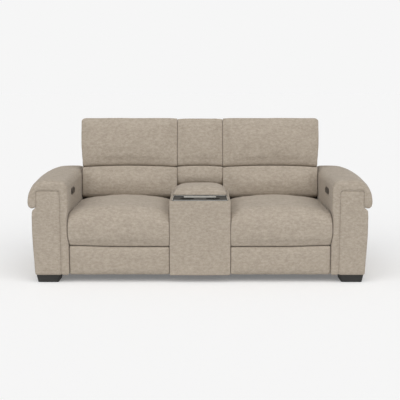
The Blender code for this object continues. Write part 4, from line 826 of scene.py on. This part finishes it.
def full_shoulder(points):
    """Fill the outer side of the arm up to just under the lip."""
    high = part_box("right_arm_body")[1]
    turn = np.clip((points[:, 2] - ARM_SHOULDER[0]) / (ARM_SHOULDER[1] - ARM_SHOULDER[0]), 0.0, 1.0)
    outline = high.x - SHOULDER_IN - SHOULDER_ROUND * (1 - np.sqrt(1 - turn * turn))
    outer = (points[:, 0] > SHOULDER_FROM[0]) & (points[:, 2] > SHOULDER_FROM[1])
    outer &= points[:, 2] < ARM_SHOULDER[1] + SHOULDER_ABOVE
    moved = points.copy()
    moved[outer, 0] = np.maximum(points[outer, 0], outline[outer])
    moved[outer, 2] = np.minimum(points[outer, 2], ARM_SHOULDER[1])
    moved[:, 1] -= PANEL_FORWARD * near_end(points, 1)
    return met_at_panel(moved, -1)


print("arm panel", round(1000 * (PANEL_OUTER - PANEL_INNER)), "mm wide, up to", round(1000 * PANEL_TOP), "mm")


# %% [markdown]
# ## Headrests and hem
#
# A headrest is a boxy cushion: its upper corners are round, and its outer side stands straight above the
# arm. Below, the split between the seat's apron and the footrest climbs a little towards the arm. As bends
# on the skin these take a few lines each, and the CAD solids stay plain.

# %% Headrests and hem
HEADREST_SIDE = 0.008
HEADREST_SIDE_TOP, HEADREST_SIDE_EASE = 0.480, 0.090625
HEADREST_SIDE_WIDTH, HEADREST_SIDE_SOFT = 0.100, 0.090


def straight_side(points):
    """Fill the headrest's outer side towards its lower corner, where it stands free above the arm."""
    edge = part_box("right_headrest_cushion")[1].x
    share = eased((points - BACK_PIVOT) @ RISE, HEADREST_SIDE_TOP, -HEADREST_SIDE_EASE)
    outer = eased(points[:, 0], edge - HEADREST_SIDE_WIDTH, HEADREST_SIDE_SOFT)
    return points + (HEADREST_SIDE * share * outer)[:, None] * SIDE


HEADREST_CORNERS = (0.013, 0.026)       # towards the console, and outside


def rounded_top(node, radii):
    """Round the two upper corners of a cushion on the back, seen from the front."""
    low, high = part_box(node)
    top = reach_along(node, RISE)[1]

    def bend(points):
        moved = points.copy()
        for edge, way, radius in ((low.x, -1.0, radii[0]), (high.x, 1.0, radii[1])):
            out = np.maximum((moved[:, 0] - edge) * way / radius + 1, 0.0)
            up = np.maximum(((moved - BACK_PIVOT) @ RISE - top) / radius + 1, 0.0)
            cut = 1 - np.maximum(out, up) / np.maximum(np.hypot(out, up), 1e-9)
            cut = np.where((out > 0) & (up > 0), cut, 0.0) * radius
            moved -= (cut * out * way)[:, None] * SIDE + (cut * up)[:, None] * RISE
        return moved

    return bend


HEM_REACH = 0.070
HEM_LIFT = 0.007


def hem_lift(points):
    """Lift the split between apron and footrest towards the arm."""
    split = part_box("right_footrest_pad")[1].z
    low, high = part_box("right_seat_cushion")
    near = soft_step(1 - np.abs(points[:, 2] - split) / HEM_REACH)
    out = soft_step((points[:, 0] - low.x) / (high.x - low.x) * 2 - 1)
    moved = points.copy()
    moved[:, 2] += HEM_LIFT * near * out
    return moved


print("headrest corners", [round(1000 * radius) for radius in HEADREST_CORNERS], "mm")


# %% [markdown]
# ## Seats, backs and footrests
#
# The seat is a thick crowned cushion whose front rolls over into an apron. Lumbar cushion, headrest and
# footrest are flatter, and the rear covers and the arm's body stay flat. The right half is made once and
# mirrored, as a maker cuts a pair from one pattern.

# %% Seats, backs and footrests
PAIRED = (
    # part, voxel, draw in, cap, fill, bends
    ("seat_cushion", 0.008, 0.006, 0.007, 0.7, (
        (beside, "console_cover", "right_arm_pad"), (pressed, "right_footrest_pad", UP, CREASE),
        hem_lift, seat_swell)),
    ("lumbar_cushion", 0.006, 0.005, 0.009, 0.7, (
        (beside, "console_back_lower_cushion", "right_arm_pad"),
        (pressed, "right_headrest_cushion", RISE, FULL_CREASE), (crease_arch, True, CREASE_DROP))),
    ("headrest_cushion", 0.007, 0.005, 0.008, 0.75, (
        (beside, "console_back_upper_cushion"), (pressed, "right_lumbar_cushion", RISE, FULL_CREASE),
        (crease_arch, False, CREASE_DROP), straight_side, (rounded_top, HEADREST_CORNERS))),
    ("footrest_pad", 0.006, 0.004, 0.006, 0.8, (
        (beside, "console_cover", "right_arm_pad"), (pressed, "right_seat_cushion", UP, CREASE), hem_lift)),
    ("back_panel", 0.010, 0.0, 0.0, 0.9, ((beside, "console_back_panel"),)),
    ("arm_pad", 0.009, 0.003, 0.004, 0.85, (arm_softness,)),
    ("arm_body", 0.009, 0.0, 0.0, 0.95, (full_shoulder,)),
)
covers = {}
for part, voxel, draw_in, cap, fill, bends in PAIRED:
    right = upholstered("right_" + part, voxel, draw_in, cap, bends)
    covers["right_" + part] = right
    covers["left_" + part] = other_hand(right, "left_" + part)
    print(part, triangles(right), "triangles a side")


# %% [markdown]
# ## Where seat and back meet
#
# At its rear the seat swells until it all but touches the lumbar cushion, which moves away when the back
# goes down.

# %% Where seat and back meet
SEAT_MEETS = 0.014
MEETS_BEFORE = 0.060          # how far before the other cushion points may swell


def search_tree(mesh):
    """A search tree over a mesh's faces."""
    return BVHTree.FromPolygons(points_of(mesh).tolist(), [tuple(face.vertices) for face in mesh.polygons])


def swollen_to(piece, other, most):
    """Let a cushion swell until it all but touches another."""
    tree = search_tree(other.data)
    points, normals = points_of(piece.data), normals_of(piece.data)
    room = np.full(len(points), most)
    meets = np.zeros(len(points))
    for index in np.flatnonzero(points[:, 1] > points_of(other.data)[:, 1].min() - MEETS_BEFORE):
        hit = tree.ray_cast(Vector(points[index]), Vector(normals[index]), most + CLEARANCE)
        if hit[0] is not None:
            room[index] = max(hit[3] - CLEARANCE, 0.0)
            meets[index] = room[index]
    swell = np.minimum(evened(piece.data, meets, rounds=8), room)
    set_points(piece.data, points + normals * swell[:, None])
    return swell.max()


for hand, side in HANDS:
    swell = swollen_to(covers[hand + "_seat_cushion"], covers[hand + "_lumbar_cushion"], SEAT_MEETS)
    print(hand, "seat swells", round(1000 * swell, 1), "mm towards the lumbar cushion")
    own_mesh(covers[hand + "_lumbar_cushion"])


# %% [markdown]
# ## Console
#
# The console stands between the seats with a padded cover, a crowned lid over the storage bin and two
# small cushions on its own fixed back. They are made as the seats are. The lid's cover is pulled down over
# the edge of its board, so the lower rim of the pad is drawn out into a hem. Before the cup tray the cover's
# front edge rises as a small roll.

# %% Console
LID_HEM = 0.009               # how high above the pad's underside the hem begins
LID_HEM_PROUD = 0.0015
LID_HEM_CLEAR = 0.0008


def lid_hem(points):
    """Draw the lower rim of the lid's pad down over the edge of its board."""
    low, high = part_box("lid_pad")
    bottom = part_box("lid_board")[0].z + LID_HEM_CLEAR
    core = np.clip(points[:, :2], np.array(low)[:2] + LID_HEM, np.array(high)[:2] - LID_HEM)
    out = points[:, :2] - core
    reach = np.linalg.norm(out, axis=1)
    rim = (points[:, 2] < low.z + LID_HEM) & (reach > LID_HEM / 4)
    moved = points.copy()
    moved[rim, :2] = core[rim] + out[rim] / reach[rim, None] * (LID_HEM + LID_HEM_PROUD)
    share = (points[rim, 2] - low.z) / LID_HEM
    moved[rim, 2] = bottom + share * (low.z + LID_HEM - bottom)
    return moved


LID_DOME, DOME_FROM, DOME_EASE = 0.010, 0.006, 0.015
CONSOLE_LIP, LIP_BEHIND, LIP_EASE, LIP_HEIGHT = 0.0092, 0.001, 0.004, 0.030


def console_lip(points):
    """Raise the cover's front edge as a small roll before the cup tray."""
    before = eased(points[:, 1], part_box("cup_tray")[0].y + LIP_BEHIND, -LIP_EASE)
    upper = eased(points[:, 2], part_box("console_cover")[1].z - LIP_HEIGHT, LIP_HEIGHT)
    return points + (CONSOLE_LIP * before * upper)[:, None] * UP


def lid_dome(points):
    """Stuff the lid a little fuller in its middle."""
    low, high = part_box("lid_pad")
    across = np.clip(2 * (points[:, 0] - low.x) / (high.x - low.x) - 1, -1.0, 1.0)
    along = np.clip(2 * (points[:, 1] - low.y) / (high.y - low.y) - 1, -1.0, 1.0)
    share = (1 - across ** 4) * (1 - along ** 4) * eased(points[:, 2], low.z + DOME_FROM, DOME_EASE)
    return points + (LID_DOME * share)[:, None] * UP


SINGLE = (
    ("console_cover", 0.008, 0.0, 0.0, 0.95, (
        (beside, "right_seat_cushion", "left_seat_cushion"), console_lip)),
    ("lid_pad", 0.006, 0.002, 0.005, 0.85, (lid_hem, lid_dome)),
    ("console_back_panel", 0.010, 0.0, 0.0, 0.95, ((beside, "right_back_panel", "left_back_panel"),)),
    ("console_back_lower_cushion", 0.006, 0.004, 0.007, 0.75, (
        (beside, "right_lumbar_cushion", "left_lumbar_cushion"),
        (pressed, "console_back_upper_cushion", RISE, FULL_CREASE), (crease_arch, True, CREASE_DROP / 2))),
    ("console_back_upper_cushion", 0.007, 0.004, 0.007, 0.75, (
        (beside, "right_headrest_cushion", "left_headrest_cushion"),
        (pressed, "console_back_lower_cushion", RISE, FULL_CREASE), (crease_arch, False, CREASE_DROP / 2),
        (rounded_top, (HEADREST_CORNERS[0],) * 2))),
    ("rear_rail", 0.008, 0.0, 0.0, 0.95, ()),
)
for part, voxel, draw_in, cap, fill, bends in SINGLE:
    covers[part] = upholstered(part, voxel, draw_in, cap, bends)
    print(part, triangles(covers[part]), "triangles")


# %% [markdown]
# ## Tray trim
#
# The cup tray is a dark moulding with a thin satin rim, and a satin plate lies behind the cups. The rim is a
# small section swept round a rounded rectangle. Both stand on the tray, so they take their places from it.

# %% Tray trim
TRIM_CORNER = 0.020
CORNER_STEPS = 6
RIM_PROFILE = ((0.0003, -0.0006), (0.0003, 0.0006), (0.0008, 0.0011), (0.0030, 0.0011), (0.0035, 0.0006),
               (0.0035, -0.0006))
PLATE_PROFILE = ((0.0, -0.0004), (0.0, 0.0008), (0.0008, 0.0014))
PLATE_RECESS, PLATE_CORNER = 0.003, 0.006
PLATE_HALF, PLATE_FROM, PLATE_TO = 0.098, 0.160, 0.203


def rounded_loop(low, high, radius, inset=0.0):
    """Points round a rectangle with round corners, moved in by `inset`."""
    middles = ((high[0] - radius, high[1] - radius, 0), (low[0] + radius, high[1] - radius, 90),
               (low[0] + radius, low[1] + radius, 180), (high[0] - radius, low[1] + radius, 270))
    loop = []
    for x, y, start in middles:
        for step in range(CORNER_STEPS + 1):
            angle = math.radians(start + 90 * step / CORNER_STEPS)
            loop.append((x + (radius - inset) * math.cos(angle), y + (radius - inset) * math.sin(angle)))
    return loop


def band_mesh(name, low, high, radius, base, profile, filled):
    """Sweep (inset, up) points round a rounded rectangle at a height, as a ring or as a filled plate."""
    bm = bmesh.new()
    rows = []
    for inset, up in profile:
        loop = rounded_loop(low, high, radius, inset)
        rows.append([bm.verts.new((x, y, base + up)) for x, y in loop])
    pairs = list(zip(rows, rows[1:]))
    if filled:
        bm.faces.new(rows[0])
        bm.faces.new(rows[-1])
    else:
        pairs.append((rows[-1], rows[0]))
    for first, second in pairs:
        for index in range(len(first)):
            after = (index + 1) % len(first)
            bm.faces.new((first[index], first[after], second[after], second[index]))
    bmesh.ops.recalc_face_normals(bm, faces=bm.faces[:])
    mesh = bpy.data.meshes.new(name)
    bm.to_mesh(mesh)
    bm.free()
    return mesh


tray_low, tray_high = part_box("cup_tray")
plate_low, plate_high = (-PLATE_HALF, FRONT + PLATE_FROM), (PLATE_HALF, FRONT + PLATE_TO)
rim_mesh = band_mesh("tray_rim", tray_low, tray_high, TRIM_CORNER, tray_high.z, RIM_PROFILE, False)
plate_mesh = band_mesh("tray_plate", plate_low, plate_high, PLATE_CORNER, tray_high.z - PLATE_RECESS,
                       PLATE_PROFILE, True)
for name, mesh in (("tray_rim", rim_mesh), ("tray_plate", plate_mesh)):
    piece = new_piece(name, mesh, TRIM)
    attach(piece, "base")
    print(piece.name, triangles(piece), "triangles")


# %% [markdown]
# ## Seams
#
# A thin welt cord, covered in the same cloth, fills the seam where the arm's padding meets its front panel.
# Beside that seam, round the lid and round the rear panels runs a row of short topstitches. Both follow a
# path, and Geometry Nodes do the rest: they sweep a round section along the path for the cord, and they put
# one small thread on each step of it for the stitches.

# %% Seam trees
STITCH = {"Pitch": 0.0072, "Length": 0.0050, "Width": 0.0011}
WELT = {"Radius": 0.0018}
TWIST = (EVERY_WAY, 1600.0, 1.0)
THREAD = grained("sewing_thread", TWIST, [(0.3, (0.225, 0.188, 0.148)), (0.7, (0.310, 0.264, 0.212))],
                 TWIST, (0.4, 0.0003), 0.7)


def wire(tree, *links):
    """Join nodes: each link names a node and its output, then a node and its input."""
    for source, output, target, into in links:
        tree.links.new(source.outputs[output], target.inputs[into])


def path_tree(name, numbers):
    """A node tree that takes a path, some numbers and a finish, with the nodes between which work goes."""
    tree = bpy.data.node_groups.new(name, "GeometryNodeTree")
    face = tree.interface
    face.new_socket("Geometry", in_out="INPUT", socket_type="NodeSocketGeometry")
    for number in numbers:
        face.new_socket(number, in_out="INPUT", socket_type="NodeSocketFloat")
    face.new_socket("Finish", in_out="INPUT", socket_type="NodeSocketMaterial")
    face.new_socket("Geometry", in_out="OUTPUT", socket_type="NodeSocketGeometry")
    given, made = tree.nodes.new("NodeGroupInput"), tree.nodes.new("NodeGroupOutput")
    curve = tree.nodes.new("GeometryNodeMeshToCurve")
    real = tree.nodes.new("GeometryNodeRealizeInstances")
    paint = tree.nodes.new("GeometryNodeSetMaterial")
    wire(tree, (given, "Geometry", curve, "Mesh"), (real, "Geometry", paint, "Geometry"),
         (given, "Finish", paint, "Material"), (paint, "Geometry", made, "Geometry"))
    return tree, given, curve, real


def stitch_tree():
    """Nodes that set a small thread on every step of a path."""
    tree, given, curve, real = path_tree("stitch_row", STITCH)
    add = tree.nodes.new
    steps = add("GeometryNodeResampleCurve")
    steps.mode = "LENGTH"
    tangent = add("GeometryNodeInputTangent")
    turn = add("FunctionNodeAlignRotationToVector")
    turn.axis = "X"
    thread = add("GeometryNodeMeshIcoSphere")
    set_inputs(thread, Radius=0.5, Subdivisions=1)
    size = add("ShaderNodeCombineXYZ")
    place = add("GeometryNodeInstanceOnPoints")
    wire(tree, (curve, "Curve", steps, "Curve"), (given, "Pitch", steps, "Length"),
         (tangent, "Tangent", turn, "Vector"), (given, "Length", size, "X"), (given, "Width", size, "Y"),
         (given, "Width", size, "Z"), (steps, "Curve", place, "Points"), (thread, "Mesh", place, "Instance"),
         (turn, "Rotation", place, "Rotation"), (size, "Vector", place, "Scale"),
         (place, "Instances", real, "Geometry"))
    return tree


def welt_tree():
    """Nodes that sweep a round cord along a path."""
    tree, given, curve, real = path_tree("welt_cord", WELT)
    section = tree.nodes.new("GeometryNodeCurvePrimitiveCircle")
    sweep = tree.nodes.new("GeometryNodeCurveToMesh")
    set_inputs(section, Resolution=10)
    set_inputs(sweep, Fill_Caps=True)
    wire(tree, (given, "Radius", section, "Radius"), (curve, "Curve", sweep, "Curve"),
         (section, "Curve", sweep, "Profile Curve"), (sweep, "Mesh", real, "Geometry"))
    return tree


STITCHES, CORD = (stitch_tree(), STITCH, THREAD), (welt_tree(), WELT, FABRIC)
print("seam trees:", len(STITCHES[0].nodes), "and", len(CORD[0].nodes), "nodes")


# %% [markdown]
# ## Seam paths
#
# A row of stitches keeps its distance from the seam all the way, so its path is a rounded rectangle moved in
# or out. Rays lay the path on the finished cover, because a crown is never quite where the solid was. The
# welt needs no rays: it lies in the seam itself.

# %% Seam paths
STITCH_PROUD = 0.0001
RAY_REACH = 0.2               # a ray starts this far off the path and ends as far beyond it
PATH_STEP = 0.010


def laid_on(cover, path, way):
    """Lay a path on a cover, seen along `way`."""
    tree = search_tree(cover.data)
    way = Vector(way)
    laid = []
    for point in path:
        hit = tree.ray_cast(Vector(point) - way * RAY_REACH, way, 2 * RAY_REACH)
        if hit[0] is not None:
            laid.append(hit[0] - way * STITCH_PROUD)
    return laid


def along_path(corners):
    """Points at short steps between the corners of a path."""
    path = []
    for start, end in zip(corners, corners[1:]):
        start, end = Vector(start), Vector(end)
        count = max(1, int((end - start).length / PATH_STEP))
        path += [start.lerp(end, index / count) for index in range(count)]
    return path + [Vector(corners[-1])]


def seam(name, body, path, kind, side=1):
    """Run stitches or a cord along one path and let the result ride on a body."""
    tree, numbers, finish = kind
    mesh = bpy.data.meshes.new(name)
    mesh.from_pydata([(side * point.x, point.y, point.z) for point in path],
                     [(index, index + 1) for index in range(len(path) - 1)], [])
    piece = bpy.data.objects.new(name, mesh)
    scene.collection.objects.link(piece)
    modifier = piece.modifiers.new("seam", "NODES")
    modifier.node_group = tree
    values = {**numbers, "Finish": finish}
    for item in tree.interface.items_tree:
        if item.in_out == "INPUT" and item.name in values:
            modifier[item.identifier] = values[item.name]
    settle_modifiers(piece)
    piece.data.shade_smooth()
    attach(piece, body)
    print(name, triangles(piece), "triangles")
    return piece


def round_panel(outset, depth, low_ends):
    """A path up the outer side of the arm's front panel, over its top and down its inner side."""
    loop = rounded_loop((PANEL_INNER, 0.0), (PANEL_OUTER, PANEL_TOP), PANEL_RADIUS, -outset)
    top = [(x, depth, z) for x, z in loop[:2 * (CORNER_STEPS + 1)]]
    return along_path([(top[0][0], depth, low_ends[0]), *top, (top[-1][0], depth, low_ends[1])])


SEAM_BESIDE, SEAM_ENDS = 0.009, (0.475, 0.070)                        # heights outside and inside
WELT_BESIDE, WELT_DEPTH, WELT_ENDS = 0.0002, 0.0050, (0.452, 0.056)
arm_row = laid_on(covers["right_arm_pad"], round_panel(SEAM_BESIDE, FRONT, SEAM_ENDS), (0, 1, 0))
arm_welt = round_panel(WELT_BESIDE, FRONT + WELT_DEPTH, WELT_ENDS)
for hand, side in HANDS:
    seam(hand + "_arm_stitching", "base", arm_row, STITCHES, side)
    seam(hand + "_arm_welt", "base", arm_welt, CORD, side)

LID_SEAM, LID_CORNER = 0.020, 0.044
lid_low, lid_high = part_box("lid_pad")
lid_loop = rounded_loop(lid_low, lid_high, LID_CORNER, LID_SEAM)
lid_corners = [(x, y, lid_high.z) for x, y in lid_loop + lid_loop[:1]]
lid_row = laid_on(covers["lid_pad"], along_path(lid_corners), (0, 0, -1))
seam("lid_stitching", "lid", lid_row, STITCHES)

BACK_SEAM, BACK_CORNER, BACK_BEHIND = 0.040, 0.070, 0.18
BACK_OUT = np.array((0.0, math.cos(BACK_RAKE), -math.sin(BACK_RAKE)))
back_low, back_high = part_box("right_back_panel")
back_foot, back_top = reach_along("right_back_panel", RISE)
back_loop = rounded_loop((back_low.x, back_foot), (back_high.x, back_top), BACK_CORNER, BACK_SEAM)
back_corners = [tuple(x * SIDE + BACK_PIVOT + rise * RISE + BACK_BEHIND * BACK_OUT)
                for x, rise in back_loop + back_loop[:1]]
back_row = laid_on(covers["right_back_panel"], along_path(back_corners), tuple(-BACK_OUT))
for hand, side in HANDS:
    seam(hand + "_back_stitching", hand + "_back", back_row, STITCHES, side)
